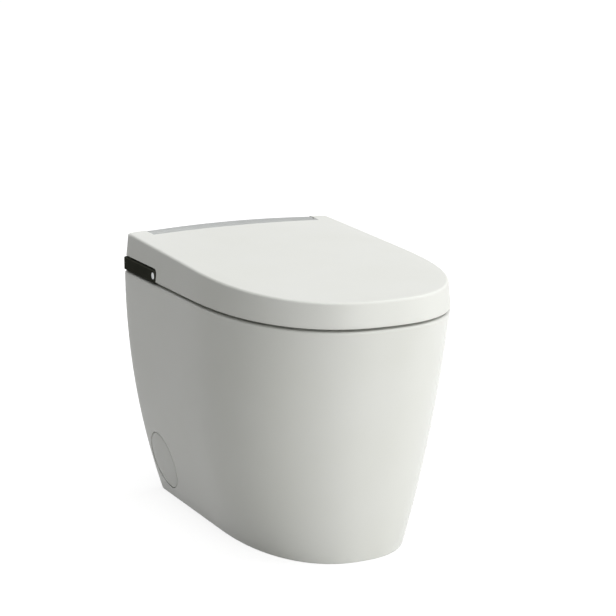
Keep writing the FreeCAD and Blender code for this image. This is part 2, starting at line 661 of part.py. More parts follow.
barrel_half = ear_x - 1.5
barrel_bore = BARREL_R - BARREL_WALL
arc = Part.Arc(vec(-barrel_half, LID_AXIS_Y, LID_AXIS_Z + BARREL_R),
               vec(0, LID_AXIS_Y, LID_AXIS_Z + BARREL_R + BARREL_CROWN),
               vec(barrel_half, LID_AXIS_Y, LID_AXIS_Z + BARREL_R)).toShape()
ends = [vec(barrel_half, LID_AXIS_Y, LID_AXIS_Z + BARREL_R), vec(barrel_half, LID_AXIS_Y, LID_AXIS_Z),
        vec(-barrel_half, LID_AXIS_Y, LID_AXIS_Z), vec(-barrel_half, LID_AXIS_Y, LID_AXIS_Z + BARREL_R)]
profile = Part.Wire([arc] + [Part.makeLine(a, b) for a, b in zip(ends, ends[1:])])
barrel = Part.Face(profile).revolve(vec(0, LID_AXIS_Y, LID_AXIS_Z), vec(1, 0, 0), 360)
barrel_foot = box(-barrel_half + 8, barrel_half - 8, LID_AXIS_Y - 7, LID_AXIS_Y + 7, shelf_z, LID_AXIS_Z)
barrel = barrel.fuse(barrel_foot).cut(rod_x(-ear_x, ear_x, LID_AXIS_Y, LID_AXIS_Z, barrel_bore))
barrel = barrel.removeSplitter()
lid_shaft = rod_x(-ear_x - LUG_T, ear_x + LUG_T, LID_AXIS_Y, LID_AXIS_Z, SHAFT_R)


def around_shaft(x0, x1, r, hole):
    tube = rod_x(x0, x1, LID_AXIS_Y, LID_AXIS_Z, r)
    return tube.cut(rod_x(x0 - 1, x1 + 1, LID_AXIS_Y, LID_AXIS_Z, hole))


bush = around_shaft(barrel_half - BUSH_LENGTH, barrel_half, barrel_bore - RUN, SHAFT_R + RUN)
lid_motor = around_shaft(-barrel_half + 20, -30, barrel_bore - CLEAR, SHAFT_R + 0.5)
lid_damper = around_shaft(50, barrel_half - 20, barrel_bore - CLEAR, SHAFT_R + 0.5)

# Seat


def seat_outline(z, inset):
    return plan_wire(z, HALF - SEAT_INSET - inset, FRONT + SEAT_INSET + inset, SHOULDER_Y,
                     SEAT_REAR - inset, ROUND_TOP, 20.0 - min(inset, 10.0))


def seat_ring(z0, z1, inset):
    hole_front = FRONT + SEAT_HOLE_FRONT
    hole_rear = hole_front + SEAT_HOLE_LENGTH
    hole = oval_wire(z0 - 1, SEAT_HOLE_HALF + inset, hole_front - inset, hole_rear + inset)
    return slab(seat_outline(z0, inset), z1 - z0).cut(slab(hole, z1 - z0 + 2))


seat_split = seat_z + SEAT_BASE_T
seat_block = seat_ring(seat_z, seat_top_z, 0.0)
seat_face = max(seat_block.Faces, key=lambda f: f.CenterOfMass.z)
seat_block = seat_block.makeFillet(SEAT_EDGE_R, seat_face.Edges)
room = box(-HALF, HALF, FRONT, REAR, seat_split, seat_top_z + 20)
cavity_top = seat_top_z - SEAT_WALL - 1.5
seat_top = seat_block.common(room).cut(seat_ring(seat_split - 1, cavity_top, SEAT_WALL))
seat_heater = seat_ring(cavity_top - 1.1, cavity_top - 0.1, SEAT_WALL + 6)
lug_x0 = SEAT_LUG_X - SEAT_LUG_T / 2
lug_x1 = SEAT_LUG_X + SEAT_LUG_T / 2
seat_lug = fuse(box(lug_x0, lug_x1, SEAT_REAR - 10, SEAT_REAR + 4, seat_z, seat_split),
                box(lug_x0, lug_x1, SEAT_REAR + 1, SEAT_AXIS_Y, seat_z, SEAT_AXIS_Z),
                rod_x(lug_x0, lug_x1, SEAT_AXIS_Y, SEAT_AXIS_Z, SEAT_PIN_R + 4))
seat_base = seat_block.cut(room).fuse([seat_lug, mirrored(seat_lug)])
seat_base = seat_base.cut(rod_x(-HALF, HALF, SEAT_AXIS_Y, SEAT_AXIS_Z, SEAT_PIN_R + RUN)).removeSplitter()
seat_pads = []
for x, y in ((HALF - 61, FRONT + 146), (HALF - 32, SEAT_REAR - 59)):
    pad = rod_z(RIM_Z + 0.2, seat_z, x, y, PAD_R)
    seat_pads += [pad, mirrored(pad)]
pin_x0 = lug_x0 - 1 - BRACKET_T
pin_x1 = lug_x1 + 1 + BRACKET_T
seat_pin = rod_x(pin_x0 - 8, pin_x1, SEAT_AXIS_Y, SEAT_AXIS_Z, SEAT_PIN_R)
drive_r = NOSE_R - COVER_T - 1.0


def seat_drive(x0, x1):
    body = rod_x(x0, x1, SEAT_AXIS_Y, SEAT_AXIS_Z, drive_r)
    feet = box(x0 + 4, x1 - 4, SEAT_AXIS_Y - 5, SEAT_AXIS_Y + 5, TRAY_Z, SEAT_AXIS_Z)
    return fuse(body, feet).cut(rod_x(x1 - 10, x1 + 1, SEAT_AXIS_Y, SEAT_AXIS_Z, SEAT_PIN_R + RUN))


seat_damper = seat_drive(pin_x0 - 45, pin_x0 - CLEAR)
seat_motor = mirrored(seat_drive(pin_x0 - 58, pin_x0 - CLEAR))

# Wash wands with their rack and pinion drives


def rack_solid():
    pitch = math.pi * TOOTH_MODULE
    lean = math.tan(math.radians(20))
    half_tooth = pitch / 4 - BACKLASH / 4
    root_x = pitch_x - root_depth
    tip_x = pitch_x + tip_height
    points = [(WAND_X + WAND_R - 1.5, rack_start), (root_x, rack_start)]
    y = pinion_y + pitch / 2 - pitch * int((pinion_y + pitch / 2 - rack_start) / pitch)
    while y < wand_length - 1.5:
        if y > rack_start + 1.5:
            points.append((root_x, y - half_tooth - root_depth * lean))
            points.append((tip_x, y - half_tooth + tip_height * lean))
            points.append((tip_x, y + half_tooth - tip_height * lean))
            points.append((root_x, y + half_tooth + root_depth * lean))
        y += pitch
    points += [(root_x, wand_length), (WAND_X + WAND_R - 1.5, wand_length)]
    corners = [vec(x, y, -PINION_T / 2) for x, y in points]
    return slab(Part.makePolygon(corners + corners[:1]), PINION_T)


def pinion_solid():
    pressure = math.radians(20)
    base_r = pitch_r * math.cos(pressure)
    tip_r = pitch_r + tip_height
    root_r = pitch_r - root_depth

    def half_width(r):
        flank = math.acos(min(1.0, base_r / r))
        spread = math.tan(pressure) - pressure - math.tan(flank) + flank
        return math.pi / (2 * PINION_TEETH) - BACKLASH / (4 * pitch_r) + spread

    radii = [base_r + (tip_r - base_r) * i / 5 for i in range(6)]
    outline = []
    for tooth in range(PINION_TEETH):
        centre = 2 * math.pi * tooth / PINION_TEETH
        flank = [(root_r, half_width(base_r))] + [(r, half_width(r)) for r in radii]
        for r, half in flank:
            outline.append((r, centre - half))
        for r, half in reversed(flank):
            outline.append((r, centre + half))
    level = -PINION_T / 2
    corners = [vec(pinion_x + r * math.cos(a), pinion_y + r * math.sin(a), level) for r, a in outline]
    wheel = slab(Part.makePolygon(corners + corners[:1]), PINION_T)
    stem = rod_z(floor_low - 9, -PINION_T / 2 + 1, pinion_x, pinion_y, 2.0)
    return fuse(wheel, stem)


floor_top = -WAND_R - 0.5
floor_low = floor_top - COVER_T
wand = rod_y(0, wand_length, WAND_X, 0, WAND_R).fuse(rack_solid())
wand = wand.cut(rod_y(-1, wand_length - 6, WAND_X, 0, WAND_BORE_R)).removeSplitter()
tip = rod_y(-WAND_TIP, 0, WAND_X, 0, WAND_R)
tip = tip.makeFillet(WAND_R * 0.6, [edge_near(tip, vec(WAND_X, -WAND_TIP, 0))])
tip = fuse(tip, rod_y(-1, 8, WAND_X, 0, WAND_BORE_R - RUN))
jets = [rod_z(0, WAND_R + 1, WAND_X, y, 0.7) for y in (-8, -6, -4)]
tip = tip.cut(jets + [rod_y(-10, 9, WAND_X, 0, 1.5)])
pinion = pinion_solid()
stepper = rod_z(floor_low - STEPPER_T, floor_low, pinion_x, pinion_y, STEPPER_R)
stepper = stepper.cut(rod_z(floor_low - 10, floor_low + 1, pinion_x, pinion_y, 2.0 + RUN))
cradle_front = rack_start - 14
cradle_rear = wand_length - 14
side = box(cradle_half - 2, cradle_half, cradle_front, cradle_rear, floor_low, WAND_R + 2.5)
guide = box(-cradle_half, cradle_half, cradle_front, cradle_front + 6, floor_low, WAND_R + 2.5)
cradle = fuse(box(-cradle_half, cradle_half, cradle_front, cradle_rear, floor_low, floor_top), side,
              mirrored(side), guide)
stem_hole = rod_z(floor_low - 1, floor_top + 1, pinion_x, pinion_y, 2.5)
cradle = cradle.cut([wand_way(RUN), stem_hole, mirrored(stem_hole)])
flange = box(cradle_half - 1, duct_x - DUCT_HALF - 0.5, UNIT_FRONT + 30, UNIT_FRONT + 60,
             TRAY_Z, TRAY_Z + 3)
cradle = fuse(along_wand(cradle), flange, mirrored(flange))

# Water heater and wash valve on the tray

heater_y0 = UNIT_FRONT + 35
wash_x = 30 - unit_half
heater_x0 = wash_x + 29
heater_x1 = -cradle_half - 24.5
water_heater = fuse(box(heater_x0, heater_x1, heater_y0, heater_y0 + 60, TRAY_Z, TRAY_Z + 30),
                    rod_x(heater_x0 - 6, heater_x0 + 1, heater_y0 + 14, TRAY_Z + 20, 4.0),
                    rod_x(heater_x1 - 1, heater_x1 + 5, heater_y0 + 46, TRAY_Z + 24, 4.0))
wash_valve = fuse(box(wash_x, wash_x + 21, heater_y0, heater_y0 + 34, TRAY_Z, TRAY_Z + 18),
                  rod_z(TRAY_Z + 17, TRAY_Z + 30, wash_x + 10.5, heater_y0 + 20, 8.0))

# Dryer

blower_x0 = duct_x - DUCT_HALF
blower_out = fuse(rod_z(TRAY_Z, TRAY_Z + BLOWER_H, BLOWER_X, blower_y, BLOWER_R),
                  box(blower_x0, BLOWER_X - 14, duct_rise - 11, blower_y - 6, TRAY_Z,
                      TRAY_Z + BLOWER_H - 10))
blower_in = fuse(rod_z(TRAY_Z + COVER_T, TRAY_Z + BLOWER_H - COVER_T, BLOWER_X, blower_y,
                       BLOWER_R - COVER_T),
                 box(blower_x0 + DUCT_WALL, BLOWER_X - 16, duct_rise - 9, blower_y - 8, TRAY_Z + COVER_T,
                     TRAY_Z + BLOWER_H - 12))
blower = blower_out.cut([
    blower_in,
    box(blower_x0 + DUCT_WALL, duct_x + DUCT_HALF - DUCT_WALL, duct_rise - 9, duct_rise + 9, TRAY_Z - 1,
        TRAY_Z + COVER_T + 1),
    rod_z(TRAY_Z, TRAY_Z + BLOWER_H + 1, BLOWER_X, blower_y, IMPELLER_R * 0.6),
    rod_z(TRAY_Z - 1, TRAY_Z + 5, BLOWER_X, blower_y, 3.2),
])
impeller_z = TRAY_Z + COVER_T + 3
impeller_h = BLOWER_H - 2 * COVER_T - 7
impeller = fuse(rod_z(impeller_z, impeller_z + 2, BLOWER_X, blower_y, IMPELLER_R),
                rod_z(TRAY_Z - 10, impeller_z + 1, BLOWER_X, blower_y, 2.5),
                rod_z(impeller_z, impeller_z + 8, BLOWER_X, blower_y, 6.0))
blades = []
for i in range(18):
    blade = box(IMPELLER_R - 8, IMPELLER_R - 0.5, -0.6, 0.6, impeller_z + 1, impeller_z + impeller_h)
    blade.rotate(vec(IMPELLER_R, 0, 0), vec(0, 0, 1), 25)
    blade.rotate(vec(0, 0, 0), vec(0, 0, 1), 20 * i)
    blade.translate(vec(BLOWER_X, blower_y, 0))
    blades.append(blade)
impeller = impeller.fuse(blades).removeSplitter()
blower_motor = rod_z(TRAY_Z - 30, TRAY_Z, BLOWER_X, blower_y, 14.0)
blower_motor = blower_motor.cut(rod_z(TRAY_Z - 12, TRAY_Z + 1, BLOWER_X, blower_y, 2.5 + RUN))

duct_x0 = duct_x - DUCT_HALF
duct_x1 = duct_x + DUCT_HALF
duct_top = RIM_Z - 2
duct_in = apron_y + 3 + CLEAR
duct = fuse(box(duct_x0, duct_x1, duct_in, duct_rise + 11, duct_z0, duct_top),
            box(duct_x0 + CLEAR, duct_x1 - CLEAR, duct_rise - 11 + CLEAR, duct_rise + 11 - CLEAR,
                duct_top - 1, TRAY_Z))
duct = duct.cut([
    box(duct_x0 + DUCT_WALL, duct_x1 - DUCT_WALL, duct_in - 1, duct_rise + 9, duct_z0 + DUCT_WALL,
        duct_top - DUCT_WALL),
    box(duct_x0 + DUCT_WALL, duct_x1 - DUCT_WALL, duct_rise - 9, duct_rise + 9, duct_z0 + DUCT_WALL,
        TRAY_Z + 1),
])
flap = fuse(box(flap_x0, flap_x1, flap_y, flap_y + FLAP_T, duct_z0 + 1, flap_z + 0.6),
            rod_x(flap_x0 - 2, flap_x1 + 2, flap_y, flap_z, 1.2))

# Flush valve, hoses and water inlet

hose_bore = HOSE_R - HOSE_WALL
spigot = hose_bore - CLEAR
valve_y = REAR - 62
supply_x = INLET_X
valve_top = RIM_Z - 33
valve_low = valve_top - 42
valve_front = valve_y - 24
flush_valve = fuse(
    box(supply_x - 10, VALVE_X + 28, valve_front, valve_y + 22, valve_low, valve_top),
    box(VALVE_X - 13, VALVE_X + 7, valve_y + 6, valve_y + 22, valve_top - 1, RIM_Z),
    rod_y(valve_front - 20, valve_front + 1, VALVE_X, rim_port_z, spigot),
    rod_z(valve_low - 20, valve_low + 1, VALVE_X, valve_y, spigot),
    rod_z(valve_low - 20, valve_low + 1, supply_x, valve_y, spigot),
)
coils = [rod_z(valve_top, valve_top + 26, x, valve_y - 11, 10.0) for x in (VALVE_X - 22, VALVE_X + 14)]
rim_port_y = outlet_y + 0.392 * BOWL_LENGTH
rim_hose = hose([vec(VALVE_X, valve_front - CLEAR, rim_port_z), vec(VALVE_X, rim_port_y, rim_port_z)],
                30.0, HOSE_R, HOSE_WALL)
jet_hose = hose([vec(VALVE_X, valve_y, valve_low - CLEAR), vec(VALVE_X, valve_y, jet_port_z),
                 vec(VALVE_X, jet_port_y, jet_port_z), vec(-BOWL_HALF * 0.36 - 4, jet_port_y, jet_port_z)],
                28.0, HOSE_R, HOSE_WALL)
wall_y = REAR - REAR_TUCK * (1 - INLET_Z / RIM_Z) ** SIDE_CURVE
wall_lean = REAR_TUCK * SIDE_CURVE * (1 - INLET_Z / RIM_Z) ** (SIDE_CURVE - 1) / RIM_Z
flange_y = wall_y - WALL - 0.6 - wall_lean * (inlet_hole_r + 6)
inlet = fuse(rod_y(flange_y - 5, flange_y, INLET_X, INLET_Z, inlet_hole_r + 6),
             rod_y(flange_y - 1, flange_y + INLET_THREAD - 1.5, INLET_X, INLET_Z, INLET_THREAD_R),
             rod_y(flange_y - 17, flange_y - 4, INLET_X, INLET_Z, spigot))
inlet = inlet.cut(rod_y(flange_y - 25, flange_y + 20, INLET_X, INLET_Z, spigot - 2))
supply_hose = hose([vec(supply_x, flange_y - 5 - CLEAR, INLET_Z), vec(supply_x, valve_y, INLET_Z),
                    vec(supply_x, valve_y, valve_low - CLEAR)], 22.0, HOSE_R, HOSE_WALL)

# Electrics

box_x1 = HALF - 62
box_x0 = box_x1 - 86
box_y0 = valve_front + 2
box_y1 = REAR - 36
box_z0 = RIM_Z - 105
box_z1 = box_z0 + 58
control_box = box(box_x0, box_x1, box_y0, box_y1, box_z0, box_z1)
control_box = control_box.cut(box(box_x0 + COVER_T, box_x1 - COVER_T, box_y0 + COVER_T, box_y1 - COVER_T,
                                  box_z0 + COVER_T, box_z1 + 1))
box_lid = fuse(box(box_x0, box_x1, box_y0, box_y1, box_z1, box_z1 + COVER_T),
               box(box_x0 + 36, box_x0 + 56, box_y1 - 18, box_y1, box_z1 + 1, RIM_Z))
board_z = box_z0 + COVER_T + 5
board = box(box_x0 + 5, box_x1 - 5, box_y0 + 5, box_y1 - 5, board_z, board_z + 1.6)
board_bits = [rod_z(board_z - 5, board_z + 0.5, x, y, 2.5) for x in (box_x0 + 10, box_x1 - 10)
              for y in (box_y0 + 9, box_y1 - 9)]
board_bits += [box(box_x0 + 14, box_x0 + 38, box_y0 + 14, box_y0 + 32, board_z + 1, board_z + 22),
               rod_z(board_z + 1, board_z + 26, box_x1 - 24, box_y0 + 22, 8.0),
               box(box_x0 + 44, box_x0 + 54, box_y0 + 12, box_y0 + 30, board_z + 1, board_z + 8)]
board = board.fuse(board_bits).removeSplitter()
gland_y = wall_y + CLEAR + wall_lean * 14
gland = fuse(rod_y(wall_y - WALL - 4, gland_y + 1, -INLET_X, INLET_Z, 10.0 - CLEAR),
             rod_y(gland_y, REAR, -INLET_X, INLET_Z, 14.0))

pieces = {
    "ceramic_pan": pan,
    "side_cap_right": cap,
    "side_cap_left": mirrored(cap),
    "trap_pipe": trap_pipe,
    "trap_sleeve": trap_sleeve,
    "floor_seal": floor_seal,
    "unit_tray": tray,
    "unit_cover": cover,
    "cover_screws": Part.makeCompound(screws),
    "tray_bolts": both_sides(bolt),
    "tray_nuts": both_sides(nut),
    "tray_washers": both_sides(washer),
    "rear_panel": rear_panel,
    "side_panel_right": panel,
    "side_panel_left": plain_panel,
    "side_button": button,
    "button_switch": switch,
    "lid_shell": lid_shell,
    "lid_liner": lid_liner,
    "lid_bumpers": Part.makeCompound(lid_pads),
    "hinge_cover": barrel,
    "hinge_bushes": both_sides(bush),
    "lid_shaft": lid_shaft,
    "lid_motor": lid_motor,
    "lid_damper": lid_damper,
    "seat_top": seat_top,
    "seat_base": seat_base,
    "seat_heater": seat_heater,
    "seat_bumpers": Part.makeCompound(seat_pads),
    "seat_pins": both_sides(seat_pin),
    "seat_motor": seat_motor,
    "seat_damper": seat_damper,
    "wand_cradle": cradle,
    "wash_motors": both_sides(stepper),
    "front_wash_wand": wand,
    "front_wash_tip": tip,
    "front_wash_pinion": pinion,
    "rear_wash_wand": mirrored(wand),
    "rear_wash_tip": mirrored(tip),
    "rear_wash_pinion": mirrored(pinion),
    "water_heater": water_heater,
    "wash_valve": wash_valve,
    "blower_housing": blower,
    "blower_impeller": impeller,
    "blower_motor": blower_motor,
    "dryer_duct": duct,
    "dryer_flap": flap,
    "flush_valve": flush_valve,
    "flush_coils": Part.makeCompound(coils),
    "rim_hose": rim_hose,
    "jet_hose": jet_hose,
    "inlet_connector": inlet,
    "supply_hose": supply_hose,
    "control_box": control_box,
    "control_box_lid": box_lid,
    "control_board": board,
    "cord_gland": gland,
}
sloping = ("wash_motors", "front_wash_wand", "front_wash_tip", "front_wash_pinion", "rear_wash_wand",
           "rear_wash_tip", "rear_wash_pinion")
os.makedirs("parts", exist_ok=True)
for name, shape in pieces.items():
    save(name, along_wand(shape) if name in sloping else shape)
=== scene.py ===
import json
import math

import bmesh
import bpy
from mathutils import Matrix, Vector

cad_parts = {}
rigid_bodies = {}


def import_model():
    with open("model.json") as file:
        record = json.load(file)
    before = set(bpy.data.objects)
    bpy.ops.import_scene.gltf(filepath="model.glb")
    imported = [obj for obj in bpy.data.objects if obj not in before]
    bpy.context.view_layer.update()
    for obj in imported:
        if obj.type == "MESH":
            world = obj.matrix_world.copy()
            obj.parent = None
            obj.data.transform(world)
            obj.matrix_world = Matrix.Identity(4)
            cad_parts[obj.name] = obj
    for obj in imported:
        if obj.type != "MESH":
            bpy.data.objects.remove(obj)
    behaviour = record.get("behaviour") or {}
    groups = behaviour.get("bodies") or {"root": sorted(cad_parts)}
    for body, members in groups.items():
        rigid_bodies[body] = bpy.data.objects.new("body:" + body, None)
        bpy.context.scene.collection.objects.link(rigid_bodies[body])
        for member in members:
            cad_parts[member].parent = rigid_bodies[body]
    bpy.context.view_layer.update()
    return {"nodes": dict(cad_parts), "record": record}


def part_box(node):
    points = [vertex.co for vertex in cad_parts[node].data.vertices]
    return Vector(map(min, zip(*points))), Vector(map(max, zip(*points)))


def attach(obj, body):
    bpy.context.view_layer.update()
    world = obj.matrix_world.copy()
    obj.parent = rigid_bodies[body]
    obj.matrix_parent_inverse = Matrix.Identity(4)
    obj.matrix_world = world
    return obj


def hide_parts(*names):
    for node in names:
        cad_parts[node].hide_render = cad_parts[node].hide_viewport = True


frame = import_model()

# Pan: one casting of vitreous china, slip cast in plaster, glazed white all over and fired.
# The skirt draws in from the rim to the floor, and the bowl hangs inside it from the rim.
# Everything else is bolted or hung on it.

MM = 0.001
NOSE_STEPS, SIDE_STEPS, CORNER_STEPS, REAR_STEPS = 112, 14, 8, 20
HALF = 200.0
FRONT = -303.0
REAR = 303.0
RIM_Z = 400.0
RIM_LIP = 7.0
RIM_EDGE = 5.0
WALL = 12.0
SHOULDER_Y = 12.0
SHOULDER_BACK = 13.0
PLAN_POWER = 2.45
REAR_CORNER = 14.0
SIDE_DRAW = 57.0
SIDE_CURVE = 2.1
NOSE_DRAW = 83.0
NOSE_CURVE = 0.85
REAR_DRAW = 18.0
DECK_Z = 374.0
BOWL_HALF = 145.0
BOWL_FRONT = -255.0
BOWL_REAR = 125.0
BOWL_WALL = 11.0
OVAL_POWER = 2.2
SUMP_Z = 140.0
FOOT_X = 115.0
FOOT_Y = 220.0
FOOT_T = 18.0
FLOOR_BOLT_R = 6.5
TRAP_Z = 168.0
SPIGOT_R = 34.0
OUTLET_R = 26.0
ARCH_HALF = 60.0
ARCH_SIDE = 90.0
INLET_X = -118.0
INLET_Z = 140.0
INLET_R = 21.5
GLAND_R = 10.0
HOSE_PORT_R = 9.3
TRAY_BOLT_X = 166.0
TRAY_BOLT_Y = 235.0
TRAY_BOLT_R = 5.0
CAP_Y = 220.0
CAP_Z = 70.0
CAP_R = 50.0
CAP_GAP = 1.0
CAP_T = 5.0
CAP_HOLE_R = 27.0


def outline(half, front, shoulder, rear, power, corner):
    """Plan of the rim: a rounded front, straight sides and small rear corners."""
    points = []
    for i in range(NOSE_STEPS):
        turn = math.pi * i / NOSE_STEPS
        across = math.copysign(abs(math.cos(turn)) ** (2 / power), math.cos(turn))
        points.append((-half * across, shoulder - (shoulder - front) * math.sin(turn) ** (2 / power)))
    for i in range(SIDE_STEPS):
        points.append((half, shoulder + (rear - corner - shoulder) * i / SIDE_STEPS))
    for i in range(CORNER_STEPS):
        turn = math.pi / 2 * i / CORNER_STEPS
        points.append((half - corner + corner * math.cos(turn), rear - corner + corner * math.sin(turn)))
    for i in range(REAR_STEPS):
        points.append(((half - corner) * (1 - 2 * i / REAR_STEPS), rear))
    for i in range(CORNER_STEPS):
        turn = math.pi / 2 * (1 + i / CORNER_STEPS)
        points.append((corner - half + corner * math.cos(turn), rear - corner + corner * math.sin(turn)))
    for i in range(SIDE_STEPS):
        points.append((-half, rear - corner - (rear - corner - shoulder) * i / SIDE_STEPS))
    return points


def skirt_ring(z, inset, level):
    """Outline of the skirt at height z, drawn in from the rim down to the floor, placed at a level."""
    low = 1 - max(z, 0.0) / RIM_Z
    side = low ** SIDE_CURVE
    nose = low ** NOSE_CURVE
    plan = outline(HALF - SIDE_DRAW * side - inset, FRONT + NOSE_DRAW * nose + inset,
                   SHOULDER_Y + SHOULDER_BACK * nose, REAR - REAR_DRAW * side - inset,
                   PLAN_POWER - 0.1 * nose, max(REAR_CORNER - inset, 4.0))
    return [(x, y, level) for x, y in plan]


bowl_middle = (BOWL_FRONT + BOWL_REAR) / 2
rim_plan = outline(HALF, FRONT, SHOULDER_Y, REAR, PLAN_POWER, REAR_CORNER)


def oval(plan, half, front, rear, z, middle):
    """An oval whose points lie in the directions of a plan's points, seen from a middle on its axis."""
    centre = (front + rear) / 2
    ring = []
    for x, y in plan:
        turn = math.atan2(y - middle, x)
        across = (abs(math.cos(turn)) / half) ** OVAL_POWER
        along = (2 * abs(math.sin(turn)) / (rear - front)) ** OVAL_POWER
        reach = (across + along) ** (-1 / OVAL_POWER)
        ring.append((reach * math.cos(turn), centre + reach * math.sin(turn), z))
    return ring


def bowl_ring(depth, grow):
    """The bowl at a share of its depth: steep under the rim, then closing in to the sump."""
    length = BOWL_REAR - BOWL_FRONT
    half = BOWL_HALF * (1 - 0.76 * depth ** 1.8) + grow
    front = BOWL_FRONT + 0.5 * length * depth ** 2 - grow
    rear = BOWL_REAR - 0.34 * length * depth ** 1.4 + grow
    return oval(rim_plan, half, front, rear, RIM_Z - (RIM_Z - SUMP_Z) * depth, bowl_middle)


def shrunk(ring, share, z):
    """A ring drawn in to a share of its size round its own middle."""
    x0 = sum(p[0] for p in ring) / len(ring)
    y0 = sum(p[1] for p in ring) / len(ring)
    return [(x0 + (x - x0) * share, y0 + (y - y0) * share, z) for x, y, _ in ring]


def laced(work, rings, closed=False):
    """Lays rings of millimetre points in the work, with faces from each to the next."""
    rows = [[work.verts.new((x * MM, y * MM, z * MM)) for x, y, z in ring] for ring in rings]
    for low, high in zip(rows, rows[1:] + rows[:1] if closed else rows[1:]):
        for i, corner in enumerate(low):
            j = (i + 1) % len(low)
            work.faces.new((corner, low[j], high[j], high[i]))
    return rows


def skin(rings, smooth_angle=40):
    """A closed skin through rings; the first and last ring close to a seam."""
    work = bmesh.new()
    laced(work, rings)
    bmesh.ops.remove_doubles(work, verts=work.verts, dist=1e-6)
    open_edges = [e for e in work.edges if e.is_boundary]
    if open_edges:
        bmesh.ops.holes_fill(work, edges=open_edges)
    return finished(work, smooth_angle)


def finished(work, smooth_angle=40):
    """Turns the work into a mesh with outward faces, smooth except at edges sharper than the angle."""
    bmesh.ops.recalc_face_normals(work, faces=work.faces)
    mesh = bpy.data.meshes.new("piece")
    work.to_mesh(mesh)
    work.free()
    mesh.shade_smooth()
    mesh.set_sharp_from_angle(angle=math.radians(smooth_angle))
    return mesh


def circle(a, b, r, steps=64):
    """Points round a circle, in the plane that it is used in."""
    return [(a + r * math.cos(2 * math.pi * i / steps), b + r * math.sin(2 * math.pi * i / steps))
            for i in range(steps)]


def rounded(a0, a1, b0, b1, r, steps=6):
    """A rectangle with rounded corners."""
    points = []
    for k, (a, b) in enumerate(((a1 - r, b1 - r), (a0 + r, b1 - r), (a0 + r, b0 + r), (a1 - r, b0 + r))):
        for i in range(steps + 1):
            turn = math.pi / 2 * (k + i / steps)
            points.append((a + r * math.cos(turn), b + r * math.sin(turn)))
    return points


def prism(axis, points, low, high):
    """A flat outline drawn across an axis and pulled along it."""
    order = {"X": (2, 0, 1), "Y": (0, 2, 1), "Z": (0, 1, 2)}[axis]
    work = bmesh.new()
    ends = [[work.verts.new([(a, b, t)[k] * MM for k in order]) for a, b in points] for t in (low, high)]
    work.faces.new(ends[0])
    work.faces.new(ends[1])
    for i, corner in enumerate(ends[0]):
        j = (i + 1) % len(points)
        work.faces.new((corner, ends[0][j], ends[1][j], ends[1][i]))
    return finished(work)


def carved(mesh, tools, operation="DIFFERENCE", smooth_angle=40):
    """A mesh with other meshes cut from it or joined to it."""
    scene = bpy.context.scene
    thing = bpy.data.objects.new("work", mesh)
    scene.collection.objects.link(thing)
    group = bpy.data.collections.new("tools")
    scene.collection.children.link(group)
    for tool in tools:
        group.objects.link(bpy.data.objects.new("tool", tool))
    change = thing.modifiers.new("carve", "BOOLEAN")
    change.operation = operation
    change.solver = "EXACT"
    change.operand_type = "COLLECTION"
    change.collection = group
    result = bpy.data.meshes.new_from_object(thing.evaluated_get(bpy.context.evaluated_depsgraph_get()))
    for tool in list(group.objects):
        bpy.data.objects.remove(tool)
    bpy.data.collections.remove(group)
    bpy.data.objects.remove(thing)
    result.materials.clear()
    result.shade_smooth()
    result.set_sharp_from_angle(angle=math.radians(smooth_angle))
    return result


node_body = {n: body for body, nodes in frame["record"]["behaviour"]["bodies"].items() for n in nodes}


def piece(name, mesh, material, *nodes):
    """Puts a finished mesh in the scene, on the body of the nodes that it stands for."""
    thing = bpy.data.objects.new(name, mesh)
    mesh.name = name
    bpy.context.scene.collection.objects.link(thing)
    mesh.materials.clear()
    mesh.materials.append(material)
    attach(thing, node_body[nodes[0]])
    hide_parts(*nodes)
    return thing


def linear(hex_colour):
    """An sRGB hex colour as linear RGBA."""
    values = [int(hex_colour[i:i + 2], 16) / 255 for i in (0, 2, 4)]
    return [v / 12.92 if v <= 0.04045 else ((v + 0.055) / 1.055) ** 2.4 for v in values] + [1.0]


def add(tree, kind, settings, inputs):
    """Adds one node with its settings, and sets or links its inputs."""
    node = tree.nodes.new(kind)
    for name, value in settings.items():
        setattr(node, name, value)
    for name, value in inputs.items():
        sources = value if isinstance(value, list) else [value]
        if isinstance(sources[0], bpy.types.NodeSocket):
            for source in sources:
                tree.links.new(source, node.inputs[name])
        else:
            node.inputs[name].default_value = value
    return node


def surface(name, light, dark, patch_mm, rough, grain_mm, grain_deep_mm, **shader):
    """A surface whose colour and gloss drift over patches, with a fine grain in relief."""
    material = bpy.data.materials.new(name)
    material.use_nodes = True
    tree = material.node_tree
    tree.nodes.clear()
    spot = add(tree, "ShaderNodeTexCoord", {}, {}).outputs["Object"]
    patch = add(tree, "ShaderNodeTexNoise", {}, {"Vector": spot, "Scale": 1000 / patch_mm, "Detail": 2.0})
    drift = add(tree, "ShaderNodeMapRange", {}, {
        "Value": patch.outputs["Fac"], "From Min": 0.3, "From Max": 0.7})
    colour = add(tree, "ShaderNodeMix", {"data_type": "RGBA"}, {0: drift.outputs["Result"]})
    colour.inputs[6].default_value = linear(light)
    colour.inputs[7].default_value = linear(dark)
    gloss = add(tree, "ShaderNodeMapRange", {}, {
        "Value": patch.outputs["Fac"], "To Min": rough * 0.85, "To Max": rough * 1.15})
    grain = add(tree, "ShaderNodeTexNoise", {}, {"Vector": spot, "Scale": 1000 / grain_mm, "Detail": 3.0})
    relief = add(tree, "ShaderNodeBump", {}, {"Height": grain.outputs["Fac"], "Distance": grain_deep_mm * MM})
    body = add(tree, "ShaderNodeBsdfPrincipled", {}, {
        "Base Color": colour.outputs[2], "Roughness": gloss.outputs["Result"],
        "Normal": relief.outputs["Normal"]})
    for socket, value in shader.items():
        body.inputs[socket.replace("_", " ")].default_value = value
    add(tree, "ShaderNodeOutputMaterial", {}, {"Surface": body.outputs["BSDF"]})
    return material


